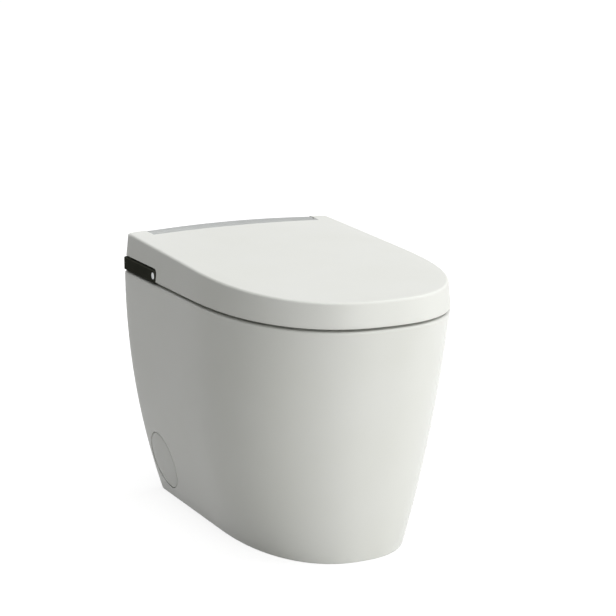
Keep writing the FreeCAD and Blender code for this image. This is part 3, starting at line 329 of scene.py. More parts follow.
# White glaze on china: warm white, glassy, with the slow waves that a dipped glaze dries into.
china_glaze = surface("china_glaze", "EEEFEA", "ECEDE7", 120, 0.24, 34, 0.05,
                      IOR=1.5, Specular_IOR_Level=0.2)

arc = [math.pi / 2 * i / 6 for i in range(7)]
rings = [shrunk(bowl_ring(1.0, 0.0), share, SUMP_Z) for share in (0.0, 0.5, 0.85)]
rings += [bowl_ring(1 - i / 26, 0.0) for i in range(1, 26)]
for a in arc:
    z = RIM_Z - RIM_LIP + RIM_LIP * math.sin(a)
    rings.append([(x, y, z) for x, y, _ in bowl_ring(0.0, RIM_LIP * (1 - math.cos(a)))])
for a in reversed(arc):
    z = RIM_Z - RIM_EDGE + RIM_EDGE * math.sin(a)
    rings.append(skirt_ring(z, RIM_EDGE * (1 - math.cos(a)), z))
rings += [skirt_ring(z, 0.0, z) for z in [395 - 14 * i for i in range(1, 28)] + [4.0, 1.5]]
rings += [skirt_ring(0.0, 0.4, 0.4), skirt_ring(0.0, 1.4, 0.0), skirt_ring(0.0, WALL - 1, 0.0)]
rings += [skirt_ring(z, WALL, z) for z in [1.0] + [14.0 * i for i in range(1, 27)] + [369.0]]
rings += [skirt_ring(DECK_Z, WALL + 5, DECK_Z)]
rings += [bowl_ring((RIM_Z - DECK_Z) / (RIM_Z - SUMP_Z), BOWL_WALL + 5), bowl_ring(0.12, BOWL_WALL)]
rings += [bowl_ring(0.12 + 0.88 * i / 18, BOWL_WALL) for i in range(1, 19)]
rings += [shrunk(bowl_ring(1.0, BOWL_WALL), share, SUMP_Z - BOWL_WALL) for share in (0.9, 0.5, 0.0)]
china = skin(rings)


def wall_x(z):
    """How far the straight side of the skirt stands from the middle, at a height."""
    return HALF - SIDE_DRAW * (1 - max(z, 0.0) / RIM_Z) ** SIDE_CURVE


def disc(profile):
    """A round plate on the right-hand side, from radii and depths under the skirt (None: clear of it)."""
    rings = []
    for r, depth in profile:
        plan = circle(CAP_Y, CAP_Z, max(r, 0.01), 96)
        rings.append([(-HALF - 20 if depth is None else -wall_x(z) + depth, y, z) for y, z in plan])
    return skin(rings)


def mirrored(mesh):
    """The same shape for the other side."""
    twin = mesh.copy()
    work = bmesh.new()
    work.from_mesh(twin)
    for v in work.verts:
        v.co.x = -v.co.x
    bmesh.ops.reverse_faces(work, faces=work.faces)
    work.to_mesh(twin)
    work.free()
    return twin


feet = [prism("Z", rounded(side * FOOT_X - 22, side * FOOT_X + 22, FOOT_Y - 25, FOOT_Y + 25, 3), 0, FOOT_T)
        for side in (-1, 1)]
spigot = prism("Y", circle(0, TRAP_Z, SPIGOT_R), -40, 66)
china = carved(china, feet + [spigot], "UNION")
recess_r, recess_t = CAP_R + CAP_GAP, CAP_T + 0.3
recess = disc([(0, recess_t), (recess_r, recess_t), (recess_r, None), (0, None)])
port = prism("X", circle(CAP_Y, CAP_Z, CAP_HOLE_R), -210, -100)
arch = [(-ARCH_HALF, -5), (ARCH_HALF, -5), (ARCH_HALF, ARCH_SIDE)]
arch += [(ARCH_HALF * math.cos(math.pi * i / 24), ARCH_SIDE + ARCH_HALF * math.sin(math.pi * i / 24))
         for i in range(1, 24)]
arch += [(-ARCH_HALF, ARCH_SIDE)]
outlet = prism("Y", circle(0, TRAP_Z, OUTLET_R), -65, 67)
unit_well = prism("Z", rounded(-150, 150, 177, 288, 8), 365, 405)
wand_way = prism("Z", rounded(-88, 88, 111, 195, 10), 357, 405)
rim_port = prism("Y", circle(-92, 344, HOSE_PORT_R, 32), -5, 185)
jet_port = prism("X", circle(-35, 164, HOSE_PORT_R, 32), -80, -20)
inlet_port = prism("Y", circle(INLET_X, INLET_Z, INLET_R), 260, 310)
gland_port = prism("Y", circle(-INLET_X, INLET_Z, GLAND_R, 32), 260, 310)
holes = [outlet, unit_well, wand_way, prism("Y", arch, 265, 310), rim_port, jet_port, inlet_port, gland_port,
         recess, mirrored(recess), port, mirrored(port)]
for side in (-1, 1):
    holes.append(prism("Z", circle(side * FOOT_X, FOOT_Y, FLOOR_BOLT_R, 32), -5, 30))
    holes.append(prism("Z", circle(side * TRAY_BOLT_X, TRAY_BOLT_Y, TRAY_BOLT_R, 32), 365, 405))
china = carved(china, holes)
piece("china_pan", china, china_glaze, "ceramic_pan")

# Side caps: white plastic discs that close the openings over the floor bolts.
# Each follows the curve of the skirt, sits in a recess with a fine gap, and plugs in with a ring.

PLUG_R = 26.7
PLUG_BORE_R = 23.0
PLUG_DEEP = 13.0

# Injection-moulded ABS in the white of the china, a little softer in its gloss.
cap_abs = surface("cap_abs", "ECEDE8", "E9EAE4", 60, 0.32, 3.0, 0.01, IOR=1.46, Specular_IOR_Level=0.25)
cap = disc([(0, 0), (20, 0), (40, 0), (47, 0.1), (49, 0.4), (49.7, 0.9), (CAP_R, 1.7), (CAP_R, CAP_T),
            (PLUG_R, CAP_T), (PLUG_R, PLUG_DEEP), (PLUG_BORE_R, PLUG_DEEP), (PLUG_BORE_R, CAP_T), (0, CAP_T)])
piece("bolt_cap_right", cap, cap_abs, "side_cap_right")
piece("bolt_cap_left", mirrored(cap), cap_abs, "side_cap_left")

# Drain: a grey PVC trap pipe pushed on the pan's outlet through a rubber sleeve.
# It rises over its weir, falls at the rear and ends in a rubber seal on the floor outlet.

nodes = frame["nodes"]


def painted(material, *names):
    """Gives pieces that keep their constructed shape their material."""
    for name in names:
        mesh = nodes[name].data
        mesh.materials.clear()
        mesh.materials.append(material)


def dressed(name, node, material, edge_mm):
    """A constructed piece with its moulded edges rounded over."""
    work = bmesh.new()
    work.from_mesh(nodes[node].data)
    bmesh.ops.remove_doubles(work, verts=work.verts, dist=2e-6)
    bmesh.ops.dissolve_limit(work, angle_limit=math.radians(0.5), verts=work.verts, edges=work.edges)
    mesh = finished(work, 30)
    thing = piece(name, mesh, material, node)
    bevel = thing.modifiers.new("edges", "BEVEL")
    bevel.width = edge_mm * MM
    bevel.segments = 2
    bevel.limit_method = "ANGLE"
    bevel.angle_limit = math.radians(40)
    bevel.harden_normals = True
    return thing


# Extruded grey PVC: dull, with a faint mottle. Its grain is drawn at 2 mm, coarser than real, to show.
pipe_pvc = surface("pipe_pvc", "8F9395", "868A8D", 40, 0.42, 2.0, 0.02, IOR=1.46)
# Moulded EPDM rubber: near-black grey, matt, powdery in the light.
grey_rubber = surface("grey_rubber", "47494B", "3E4042", 25, 0.72, 1.2, 0.05, IOR=1.45)
painted(pipe_pvc, "trap_pipe", "flush_valve")
painted(grey_rubber, "trap_sleeve", "floor_seal", "tray_washers")

# Flush and supply: a brass inlet in the rear wall feeds the flush valve and the wash through hoses.
# Two solenoids open the valve to the rim hose and the jet hose, which are pushed on and clamped.

# Turned brass: warm yellow metal, broken up by tool marks, drawn at 0.8 mm where real ones are finer.
turned_brass = surface("turned_brass", "C9A860", "B8964F", 12, 0.28, 0.8, 0.01, Metallic=1.0)
# Extruded black rubber hose: matt black, with the 1.5 mm relief of the braid under its cover.
black_hose = surface("black_hose", "26282A", "1E2022", 15, 0.6, 1.5, 0.12, IOR=1.45)
# Painted steel cans of small motors and coils: dark grey with a light orange peel of 1.6 mm.
motor_paint = surface("motor_paint", "5A5D60", "515457", 30, 0.38, 1.6, 0.03, IOR=1.5)
painted(turned_brass, "inlet_connector")
painted(black_hose, "rim_hose", "jet_hose", "supply_hose", "cord_gland")
painted(motor_paint, "flush_coils", "wash_motors", "blower_motor", "lid_motor", "seat_motor")

# Electrics: a sealed grey box on the rear wall holds the green control board.
# The box and its pushed-on lid are moulded polypropylene, as are the unit's other hidden housings:
# switch, bushes, dampers, wand cradle, heater, valve, blower and duct.

# Moulded grey polypropylene: satin, with a spark-eroded grain, drawn at 0.9 mm so that it shows.
grey_pp = surface("grey_pp", "A9ACAC", "A1A4A5", 35, 0.5, 0.9, 0.03, IOR=1.46)
# Lacquered glass-fibre board: deep green, with the weave's 0.6 mm threads just showing.
board_lacquer = surface("board_lacquer", "1F6B3C", "195A32", 9, 0.3, 0.6, 0.02, IOR=1.5)
painted(grey_pp, "control_box", "control_box_lid", "button_switch", "hinge_bushes", "lid_damper",
        "seat_damper", "wand_cradle", "water_heater", "wash_valve", "blower_housing", "dryer_duct")
painted(board_lacquer, "control_board")

# Bidet unit tray: the white ABS moulding that carries all of the unit.
# Two stainless bolts with washers and nuts hold it down through the pan's deck. The lid's shaft and
# the seat's pins are of the same steel.

# Moulded white ABS of the bidet unit: satin, a touch greyer than the lid, with a grain drawn at 1.2 mm.
unit_abs = surface("unit_abs", "E9EAE5", "E4E5DF", 50, 0.34, 1.2, 0.015, IOR=1.46)
# Rolled and passivated stainless steel: pale grey metal, softly brushed, drawn at 0.5 mm to show.
stainless = surface("stainless", "C4C6C7", "B4B6B8", 8, 0.3, 0.5, 0.006, Metallic=1.0)
dressed("tray_moulding", "unit_tray", unit_abs, 0.5)
painted(stainless, "tray_bolts", "tray_nuts", "lid_shaft", "seat_pins")

# Wash wands: two white moulded nozzles that slide down out of the unit, one for each wash.
# Each has a rack that a small moulded pinion drives, and a chrome-plated tip pressed on its end.

NOZZLE_PLAY = 0.12

# Polished chrome plate: a clear mirror with hardly any grain.
chrome = surface("chrome", "D3D5D7", "CBCDD0", 20, 0.1, 2.0, 0.002, Metallic=1.0)
for side in ("front", "rear"):
    nozzle = dressed(side + "_nozzle", side + "_wash_wand", unit_abs, 0.25)
    work = bmesh.new()
    work.from_mesh(nozzle.data)
    for v in work.verts:
        v.co -= v.normal * NOZZLE_PLAY * MM
    work.to_mesh(nozzle.data)
    work.free()
    painted(chrome, side + "_wash_tip")
    painted(unit_abs, side + "_wash_pinion")

# Dryer: a small blower in the unit blows through a duct that a hinged white flap covers.
# Its impeller is moulded in one: a disc with a hub on the shaft and a ring of curved blades.

FAN_X = 112.0
FAN_Y = 225.0
FAN_Z = 409.5
FAN_R = 24.0
FAN_TOP = 428.5
SHAFT_Z = 394.0
SHAFT_R = 2.5
HUB_R = 6.0
BLADES = 18


def new_tree(name, *sizes):
    """An empty Geometry Nodes tree with named inputs for its sizes, and its group input."""
    tree = bpy.data.node_groups.new(name, "GeometryNodeTree")
    tree.interface.new_socket("Geometry", in_out="INPUT", socket_type="NodeSocketGeometry")
    for size in sizes:
        tree.interface.new_socket(size, in_out="INPUT", socket_type="NodeSocketFloat")
    tree.interface.new_socket("Geometry", in_out="OUTPUT", socket_type="NodeSocketGeometry")
    return tree, add(tree, "NodeGroupInput", {}, {}).outputs


def ended(tree, geometry, material):
    """Ends a tree: instances become real and take the material."""
    real = add(tree, "GeometryNodeRealizeInstances", {}, {"Geometry": geometry})
    coat = add(tree, "GeometryNodeSetMaterial", {}, {"Geometry": real.outputs[0], "Material": material})
    add(tree, "NodeGroupOutput", {}, {0: coat.outputs[0]})


def grown(tree, points, sizes):
    """Runs a tree on a set of points with its sizes in millimetres, and gives the plain mesh."""
    start = bpy.data.meshes.new("points")
    start.from_pydata([[v * MM for v in point] for point in points], [], [])
    thing = bpy.data.objects.new("work", start)
    bpy.context.scene.collection.objects.link(thing)
    change = thing.modifiers.new("grow", "NODES")
    change.node_group = tree
    for socket in tree.interface.items_tree:
        if socket.in_out == "INPUT" and socket.name in sizes:
            change[socket.identifier] = sizes[socket.name] * MM
    mesh = bpy.data.meshes.new_from_object(thing.evaluated_get(bpy.context.evaluated_depsgraph_get()))
    thing.modifiers.clear()
    bpy.data.objects.remove(thing)
    work = bmesh.new()
    work.from_mesh(mesh)
    bmesh.ops.remove_doubles(work, verts=work.verts, dist=1e-7)
    return finished(work, 35)


# Blades: arcs, each pulled up the height of the wheel, set round the disc's edge.
blades, size = new_tree("impeller_blades", "Ring Radius", "Blade Bend", "Blade Thickness", "Blade Height")
ring = add(blades, "GeometryNodeMeshCircle", {}, {"Vertices": BLADES, "Radius": size["Ring Radius"]})
bow = add(blades, "GeometryNodeCurveArc", {}, {
    "Resolution": 6, "Radius": size["Blade Bend"], "Sweep Angle": math.radians(38)})
sheet = add(blades, "GeometryNodeCurvePrimitiveQuadrilateral", {}, {
    "Width": size["Blade Thickness"], "Height": size["Blade Height"]})
blade = add(blades, "GeometryNodeCurveToMesh", {}, {
    "Curve": bow.outputs[0], "Profile Curve": sheet.outputs[0], "Fill Caps": True})
back = add(blades, "ShaderNodeMath", {"operation": "MULTIPLY"}, {0: size["Blade Bend"], 1: -1.0})
shift = add(blades, "ShaderNodeCombineXYZ", {}, {"X": back.outputs[0]})
blade = add(blades, "GeometryNodeTransform", {}, {
    "Geometry": blade.outputs[0], "Translation": shift.outputs[0]})
count = add(blades, "GeometryNodeInputIndex", {}, {})
angle = add(blades, "ShaderNodeMath", {"operation": "MULTIPLY"}, {
    0: count.outputs[0], 1: math.radians(360 / BLADES)})
facing = add(blades, "ShaderNodeCombineXYZ", {}, {"Z": angle.outputs[0]})
wheel = add(blades, "GeometryNodeInstanceOnPoints", {}, {
    "Points": ring.outputs[0], "Instance": blade.outputs[0], "Rotation": facing.outputs[0]})
whole = add(blades, "GeometryNodeInstanceOnPoints", {}, {
    "Points": size["Geometry"], "Instance": wheel.outputs[0]})
ended(blades, whole.outputs[0], unit_abs)
vanes = grown(blades, [(FAN_X, FAN_Y, (FAN_Z + FAN_TOP) / 2)],
              {"Ring Radius": FAN_R - 1.2, "Blade Bend": 11.0, "Blade Thickness": 1.2,
               "Blade Height": FAN_TOP - FAN_Z - 0.4})
profile = [(0.01, SHAFT_Z), (SHAFT_R, SHAFT_Z), (SHAFT_R, FAN_Z), (FAN_R - 0.3, FAN_Z), (FAN_R, FAN_Z + 0.3),
           (FAN_R, FAN_Z + 1.7), (FAN_R - 0.3, FAN_Z + 2), (HUB_R + 0.4, FAN_Z + 2), (HUB_R, FAN_Z + 2.4),
           (HUB_R, FAN_Z + 7.6), (HUB_R - 0.4, FAN_Z + 8), (0.01, FAN_Z + 8)]
disc_hub = skin([[(x, y, z) for x, y in circle(FAN_X, FAN_Y, r, 48)] for r, z in profile])
piece("impeller_wheel", carved(disc_hub, [vanes], "UNION"), unit_abs, "blower_impeller")
dressed("flap_plate", "dryer_flap", unit_abs, 0.4)

# Seat: a white ring of two welded shells with a heating foil between them, on four rubber feet.
# It hangs on two pins in the unit's nose and is turned by a small geared motor.

SEAT_SPLIT = 410.0
SEAT_TOP = 424.5
SEAT_REAR = 152.0
SEAT_INSET = 9.0
SEAT_CORNER = 20.0
SEAT_WALL = 3.5
SEAT_INNER_R = 9.0
SEAT_OUTER_R = 8.5
HOLE_HALF = 108.0
HOLE_FRONT = -223.0
HOLE_REAR = 72.0
SEAT_PADS = ((139, -157), (-139, -157), (168, 93), (-168, 93))

# Moulded white polypropylene with a silky gloss.
seat_pp = surface("seat_pp", "EEEFEA", "EBECE6", 90, 0.24, 2.5, 0.01, IOR=1.47)
# Soft white rubber of the pads: matt and a little translucent grey.
white_rubber = surface("white_rubber", "DADBD6", "D2D3CE", 10, 0.6, 0.8, 0.02, IOR=1.45)
# Heating foil: bright aluminium, wrinkled where it was pressed on by hand.
heat_foil = surface("heat_foil", "C9CBCC", "B9BBBD", 6, 0.3, 4.0, 0.15, Metallic=1.0)

seat_plan = outline(HALF - SEAT_INSET, FRONT + SEAT_INSET, SHOULDER_Y, SEAT_REAR, PLAN_POWER, SEAT_CORNER)
seat_middle = (HOLE_FRONT + HOLE_REAR) / 2
hole_plan = [point[:2] for point in oval(seat_plan, HOLE_HALF, HOLE_FRONT, HOLE_REAR, 0.0, seat_middle)]


def seat_ring(from_hole, from_edge, z):
    """A ring of the seat: a distance from the hole, or from the outer edge, at a height."""
    ring = []
    for (hx, hy), (sx, sy) in zip(hole_plan, seat_plan):
        width = math.hypot(sx - hx, sy - hy)
        share = from_hole / width if from_edge is None else 1 - from_edge / width
        ring.append((hx + (sx - hx) * share, hy + (sy - hy) * share, z))
    return ring


def seat_across(share, z):
    """A ring of the seat: a share of the way from the hole to the outer edge, at a height."""
    return [(hx + (sx - hx) * share, hy + (sy - hy) * share, z)
            for (hx, hy), (sx, sy) in zip(hole_plan, seat_plan)]


def loop(rings, smooth_angle=40):
    """A closed band: the rings run round a section and the last joins the first."""
    work = bmesh.new()
    laced(work, rings, closed=True)
    return finished(work, smooth_angle)


rings = [seat_ring(0.0, None, SEAT_SPLIT)]
for a in arc:
    z = SEAT_TOP - 1.5 - SEAT_INNER_R + SEAT_INNER_R * math.sin(a)
    rings.append(seat_ring(SEAT_INNER_R * (1 - math.cos(a)), None, z))
rings += [seat_across(0.3, SEAT_TOP - 0.4), seat_across(0.45, SEAT_TOP), seat_across(0.62, SEAT_TOP),
          seat_across(0.78, SEAT_TOP - 0.1)]
for a in reversed(arc):
    z = SEAT_TOP - 0.3 - SEAT_OUTER_R + SEAT_OUTER_R * math.sin(a)
    rings.append(seat_ring(0, SEAT_OUTER_R * (1 - math.cos(a)), z))
rings += [seat_ring(0, 0.0, SEAT_SPLIT + 0.4), seat_ring(0, 0.4, SEAT_SPLIT)]
rings += [seat_ring(0, SEAT_WALL, SEAT_SPLIT), seat_ring(0, SEAT_WALL, SEAT_TOP - 6.5)]
rings += [seat_ring(SEAT_WALL, None, SEAT_TOP - 6.5), seat_ring(SEAT_WALL, None, SEAT_SPLIT)]
piece("seat_shell", loop(rings), seat_pp, "seat_top")
dressed("seat_underside", "seat_base", seat_pp, 0.6)

# Pads: round rubber buttons with a rolled lower edge, plugged into the shells.
pads, size = new_tree("rubber_pads", "Pad Radius", "Pad Height", "Edge Roll")
discs = []
for narrow, high in ((1.0, 0.0), (0.62, 0.08), (0.29, 0.29), (0.08, 0.62), (0.0, 1.0), (0.0, None)):
    wide = add(pads, "ShaderNodeMath", {"operation": "MULTIPLY_ADD"}, {
        0: size["Edge Roll"], 1: -narrow, 2: size["Pad Radius"]})
    level = add(pads, "ShaderNodeMath", {"operation": "MULTIPLY"}, {
        0: size["Pad Height"] if high is None else size["Edge Roll"], 1: 1.0 if high is None else high})
    place = add(pads, "ShaderNodeCombineXYZ", {}, {"Z": level.outputs[0]})
    flat = add(pads, "GeometryNodeMeshCircle", {}, {"Vertices": 40, "Radius": wide.outputs[0]})
    raised = add(pads, "GeometryNodeTransform", {}, {
        "Geometry": flat.outputs[0], "Translation": place.outputs[0]})
    discs.append(raised.outputs[0])
stack = add(pads, "GeometryNodeJoinGeometry", {}, {0: discs})
pad = add(pads, "GeometryNodeConvexHull", {}, {0: stack.outputs[0]})
laid = add(pads, "GeometryNodeInstanceOnPoints", {}, {"Points": size["Geometry"], "Instance": pad.outputs[0]})
ended(pads, laid.outputs[0], white_rubber)
seat_pads = grown(pads, [(x, y, RIM_Z + 0.2) for x, y in SEAT_PADS],
                  {"Pad Radius": 9.0, "Pad Height": 5.8, "Edge Roll": 1.6})
piece("seat_pads", seat_pads, white_rubber, "seat_bumpers")
painted(heat_foil, "seat_heater")

# Unit cover: the white moulding over the bidet unit, with a round nose in front of the seat hinge.
# Screws at its low rear shelf hold it, and the black rear panel with the air louvres closes it.

LOUVRE_LOW = 80.0
LOUVRE_HIGH = 148.0
LOUVRES = 8
SCREW_X = 176.0
SHELF_Z = 423.0

# Black ABS, moulded in a polished tool: deep warm black that takes the light without a hard mirror.
black_abs = surface("black_abs", "45463F", "41423B", 40, 0.3, 4.0, 0.006,
                    IOR=1.48, Specular_IOR_Level=0.0)
dressed("cover_moulding", "unit_cover", unit_abs, 0.6)

# Louvre bars: upright bars with rounded edges across the air opening of the rear panel.
bars, size = new_tree("louvre_bars", "Bar Pitch", "Bar Width", "Bar Depth", "Bar Length", "Edge Round")
pitch = add(bars, "ShaderNodeCombineXYZ", {}, {"X": size["Bar Pitch"]})
row = add(bars, "GeometryNodeMeshLine", {}, {"Count": LOUVRES, "Offset": pitch.outputs[0]})
long = add(bars, "ShaderNodeCombineXYZ", {}, {"Z": size["Bar Length"]})
spine = add(bars, "GeometryNodeCurvePrimitiveLine", {}, {"End": long.outputs[0]})
outer = add(bars, "GeometryNodeCurvePrimitiveQuadrilateral", {}, {
    "Width": size["Bar Width"], "Height": size["Bar Depth"]})
soft = add(bars, "GeometryNodeFilletCurve", {"mode": "POLY"}, {
    "Curve": outer.outputs[0], "Count": 3, "Radius": size["Edge Round"]})
bar = add(bars, "GeometryNodeCurveToMesh", {}, {
    "Curve": spine.outputs[0], "Profile Curve": soft.outputs[0], "Fill Caps": True})
fence = add(bars, "GeometryNodeInstanceOnPoints", {}, {"Points": row.outputs[0], "Instance": bar.outputs[0]})
placed = add(bars, "GeometryNodeInstanceOnPoints", {}, {
    "Points": size["Geometry"], "Instance": fence.outputs[0]})
ended(bars, placed.outputs[0], black_abs)
louvre = grown(bars, [(LOUVRE_LOW + 6, 297.6, 405.0)],
               {"Bar Pitch": 8.0, "Bar Width": 4.0, "Bar Depth": 6.0, "Bar Length": 14.0, "Edge Round": 1.2})
plate = prism("Y", rounded(-187, 187, RIM_Z, SHELF_Z, 1.5), 294.3, 301)
plate = carved(plate, [prism("Y", rounded(LOUVRE_LOW, LOUVRE_HIGH, 406, 418, 1.5), 290, 305)])
piece("louvre_panel", carved(plate, [louvre], "UNION"), black_abs, "rear_panel")

# Cover screws: pan-head screws with a cross recess, driven down through the rear shelf.
screws, size = new_tree("cross_screws", "Head Radius", "Head Height", "Shank Radius", "Shank Length",
                        "Recess")
discs = []
for narrow, high in ((0.0, 0.0), (0.0, 0.45), (0.1, 0.72), (0.26, 0.9), (0.5, 1.0)):
    wide = add(screws, "ShaderNodeMath", {"operation": "MULTIPLY"}, {0: size["Head Radius"], 1: 1 - narrow})
    level = add(screws, "ShaderNodeMath", {"operation": "MULTIPLY"}, {0: size["Head Height"], 1: high})
    place = add(screws, "ShaderNodeCombineXYZ", {}, {"Z": level.outputs[0]})
    flat = add(screws, "GeometryNodeMeshCircle", {}, {"Vertices": 32, "Radius": wide.outputs[0]})
    raised = add(screws, "GeometryNodeTransform", {}, {
        "Geometry": flat.outputs[0], "Translation": place.outputs[0]})
    discs.append(raised.outputs[0])
stack = add(screws, "GeometryNodeJoinGeometry", {}, {0: discs})
head = add(screws, "GeometryNodeConvexHull", {}, {0: stack.outputs[0]})
reach = add(screws, "ShaderNodeMath", {"operation": "MULTIPLY"}, {0: size["Head Radius"], 1: 1.1})
cross = []
for across, along in (("X", "Y"), ("Y", "X")):
    cut = add(screws, "ShaderNodeCombineXYZ", {}, {
        across: reach.outputs[0], along: size["Recess"], "Z": size["Head Height"]})
    top = add(screws, "ShaderNodeCombineXYZ", {}, {"Z": size["Head Height"]})
    block = add(screws, "GeometryNodeMeshCube", {}, {"Size": cut.outputs[0]})
    slot = add(screws, "GeometryNodeTransform", {}, {
        "Geometry": block.outputs[0], "Translation": top.outputs[0]})
    cross.append(slot.outputs[0])
head = add(screws, "GeometryNodeMeshBoolean", {"operation": "DIFFERENCE"}, {
    "Mesh 1": head.outputs[0], "Mesh 2": cross})
shank = add(screws, "GeometryNodeMeshCylinder", {}, {
    "Vertices": 20, "Radius": size["Shank Radius"], "Depth": size["Shank Length"]})
sunk = add(screws, "ShaderNodeMath", {"operation": "MULTIPLY"}, {0: size["Shank Length"], 1: -0.5})
place = add(screws, "ShaderNodeCombineXYZ", {}, {"Z": sunk.outputs[0]})
shank = add(screws, "GeometryNodeTransform", {}, {
    "Geometry": shank.outputs[0], "Translation": place.outputs[0]})
screw = add(screws, "GeometryNodeJoinGeometry", {}, {0: [head.outputs[0], shank.outputs[0]]})
driven = add(screws, "GeometryNodeInstanceOnPoints", {}, {
    "Points": size["Geometry"], "Instance": screw.outputs[0]})
ended(screws, driven.outputs[0], stainless)
screw_set = grown(screws, [(side * SCREW_X, y, SHELF_Z) for side in (-1, 1) for y in (274.0, 287.0)],
                  {"Head Radius": 3.4, "Head Height": 2.2, "Shank Radius": 1.7, "Shank Length": 12.0,
                   "Recess": 0.9})
piece("cover_screw_set", screw_set, stainless, "cover_screws")

# Side panels: black ABS cheeks, moulded as plates and fixed at both sides of the unit.
# The lid's ears are cut out over them, and the right-hand one has the bore for the button.

dressed("cheek_right", "side_panel_right", black_abs, 0.4)
dressed("cheek_left", "side_panel_left", black_abs, 0.4)

# Button: a small aluminium button with a dished face, pressed to stop or start the wash.
# It slides in its bore in the right-hand panel and works the switch behind it.

BUTTON_Y = 163.0
BUTTON_Z = 414.1
BUTTON_R = 6.0
BUTTON_X = -200.5

# Spun aluminium: bright grey, with tool marks in its gloss, drawn at 0.5 mm where real ones are finer.
spun_metal = surface("spun_metal", "B0B2B3", "A6A8AA", 5, 0.24, 0.5, 0.004, Metallic=1.0)
button_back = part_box("side_button")[1].x / MM
face = [(0.01, 0.55), (3.0, 0.45), (4.8, 0.15), (5.3, 0.0), (5.7, 0.12), (BUTTON_R, 0.5)]
profile = [(r, BUTTON_X + out) for r, out in face] + [(BUTTON_R, button_back), (0.01, button_back)]
rings = [[(x, y, z) for y, z in circle(BUTTON_Y, BUTTON_Z, r)] for r, x in profile]
piece("button_cap", skin(rings), spun_metal, "side_button")

# Hinge cover: a silver-painted barrel across the rear, a little fuller in the middle.
# It hides the lid's shaft, motor and damper, and stands on a foot on the unit's rear shelf.

AXIS_Y = 283.0
AXIS_Z = 452.0
BARREL_HALF = 159.3
BARREL_END_R = 15.0
BARREL_CROWN = 4.8
BARREL_BORE_R = 12.8
FOOT_HALF = 150.5
FOOT_WEB = 14.0

# Satin silver lacquer over plastic: a grey coat with metal flake, drawn at 0.6 mm so that it shows.
silver_lacquer = surface("silver_lacquer", "B2B4B3", "ACAEAD", 30, 0.42, 0.6, 0.004,
                         Metallic=0.3, Specular_IOR_Level=0.2)
ends = [(-1.0, 1.2), (-0.997, 0.4), (-0.992, 0.0)]
spans = ends + [(-0.94 + 1.88 * i / 16, 0.0) for i in range(17)] + [(-a, b) for a, b in reversed(ends)]
profile = [(share, BARREL_END_R + BARREL_CROWN * (1 - share ** 2) - drop) for share, drop in spans]
profile += [(1.0, BARREL_BORE_R), (-1.0, BARREL_BORE_R)]
barrel = loop([[(share * BARREL_HALF, y, z) for y, z in circle(AXIS_Y, AXIS_Z, r, 96)] for share, r in profile])
web = rounded(AXIS_Y - FOOT_WEB / 2, AXIS_Y + FOOT_WEB / 2, SHELF_Z, AXIS_Z, 1)
foot = prism("X", web, -FOOT_HALF, FOOT_HALF)
foot = carved(foot, [prism("X", circle(AXIS_Y, AXIS_Z, 14.5), -170, 170)])
piece("hinge_barrel", carved(barrel, [foot], "UNION"), silver_lacquer, "hinge_cover")

# Lid: a long white wedge, moulded in one with the two ears that reach back over the panels.
# Its top slopes down to the front, is crowned and droops at its rear corners, with soft edges all round.
# A silver band is let into its rear edge, and a liner with rubber pads is welded inside it.

LID_Z = 404.5
LID_REAR = 301.0
LID_WALL = 3.2
LID_EDGE = 3.6
LID_FRONT_H = 41.7
LID_RISE = 27.0
LID_LENGTH = 606.0
LID_CROWN = 3.0
LID_DROOP = 3.4
LID_GAP_Y = 267.5
LID_GAP_HALF = 160.0
LID_TAPER = math.tan(math.radians(6))
NOTCH_Y = 152.0
NOTCH_Z = 426.8
NOTCH_R = 10.0
EAR_HALF = 190.8
LUG_R = 13.0
LUG_TOP = 465.0
LUG_IN = 160.0
LUG_OUT = 169.0
SHAFT_BORE_R = 5.05
BAND_Y = 254.5
BAND_T = 1.2
LID_PAD_X = 150.0
LID_PAD_Z = 424.8

# White thermoset resin of the lid: warm white with an even, soft gloss.
lid_resin = surface("lid_resin", "ECEDE8", "EAEBE5", 140, 0.36, 5.0, 0.008,
                    IOR=1.46, Specular_IOR_Level=0.2)

lid_plan = outline(HALF, FRONT, SHOULDER_Y, LID_REAR, PLAN_POWER, REAR_CORNER)
inward = []
for i in range(len(lid_plan)):
    (ax, ay), (bx, by) = lid_plan[i - 1], lid_plan[(i + 1) % len(lid_plan)]
    run = math.hypot(bx - ax, by - ay)
    inward.append((-(by - ay) / run, (bx - ax) / run))


def lid_top(x, y):
    """Height of the lid's upper face: sloping down to the front, crowned, with drooping rear corners."""
    along, across = (y - FRONT) / LID_LENGTH, x / HALF
    crown = LID_CROWN * (1 - across ** 2) - LID_DROOP * (along * across) ** 2
    return RIM_Z + LID_FRONT_H + LID_RISE * along + crown


def drawn(i, draw):
    """A point of the lid's plan, drawn in square to its edge."""
    return lid_plan[i][0] + inward[i][0] * draw, lid_plan[i][1] + inward[i][1] * draw


def lid_skin(wall, edge, start):
    """Rings of one face of the lid, from its open edge up over the rounded shoulder."""
    side = [[] for _ in range(9)]
    bend = [[] for _ in range(9)]
    for i in range(len(lid_plan)):
        draw = wall
        for _ in range(4):
            draw = wall + (lid_top(*drawn(i, draw)) - wall - LID_Z) * LID_TAPER
        z = lid_top(*drawn(i, draw)) - wall
        foot_z = z - edge
        for k in range(9):
            level = start + (foot_z - start) * k / 9
            side[k].append((*drawn(i, wall + (level - LID_Z) * LID_TAPER), level))
        ax, ay = drawn(i, draw - edge * LID_TAPER)
        tx, ty = drawn(i, draw)
        bx, by = drawn(i, draw + edge)
        corner = ((ax, ay, foot_z), (tx, ty, z), (bx, by, lid_top(bx, by) - wall))
        for k in range(9):
            u = k / 8
            pull = ((1 - u) ** 2, 1.414 * u * (1 - u), u ** 2)
            bend[k].append(tuple(sum(p * point[c] for p, point in zip(pull, corner)) / sum(pull)
                                 for c in range(3)))
    return side + bend


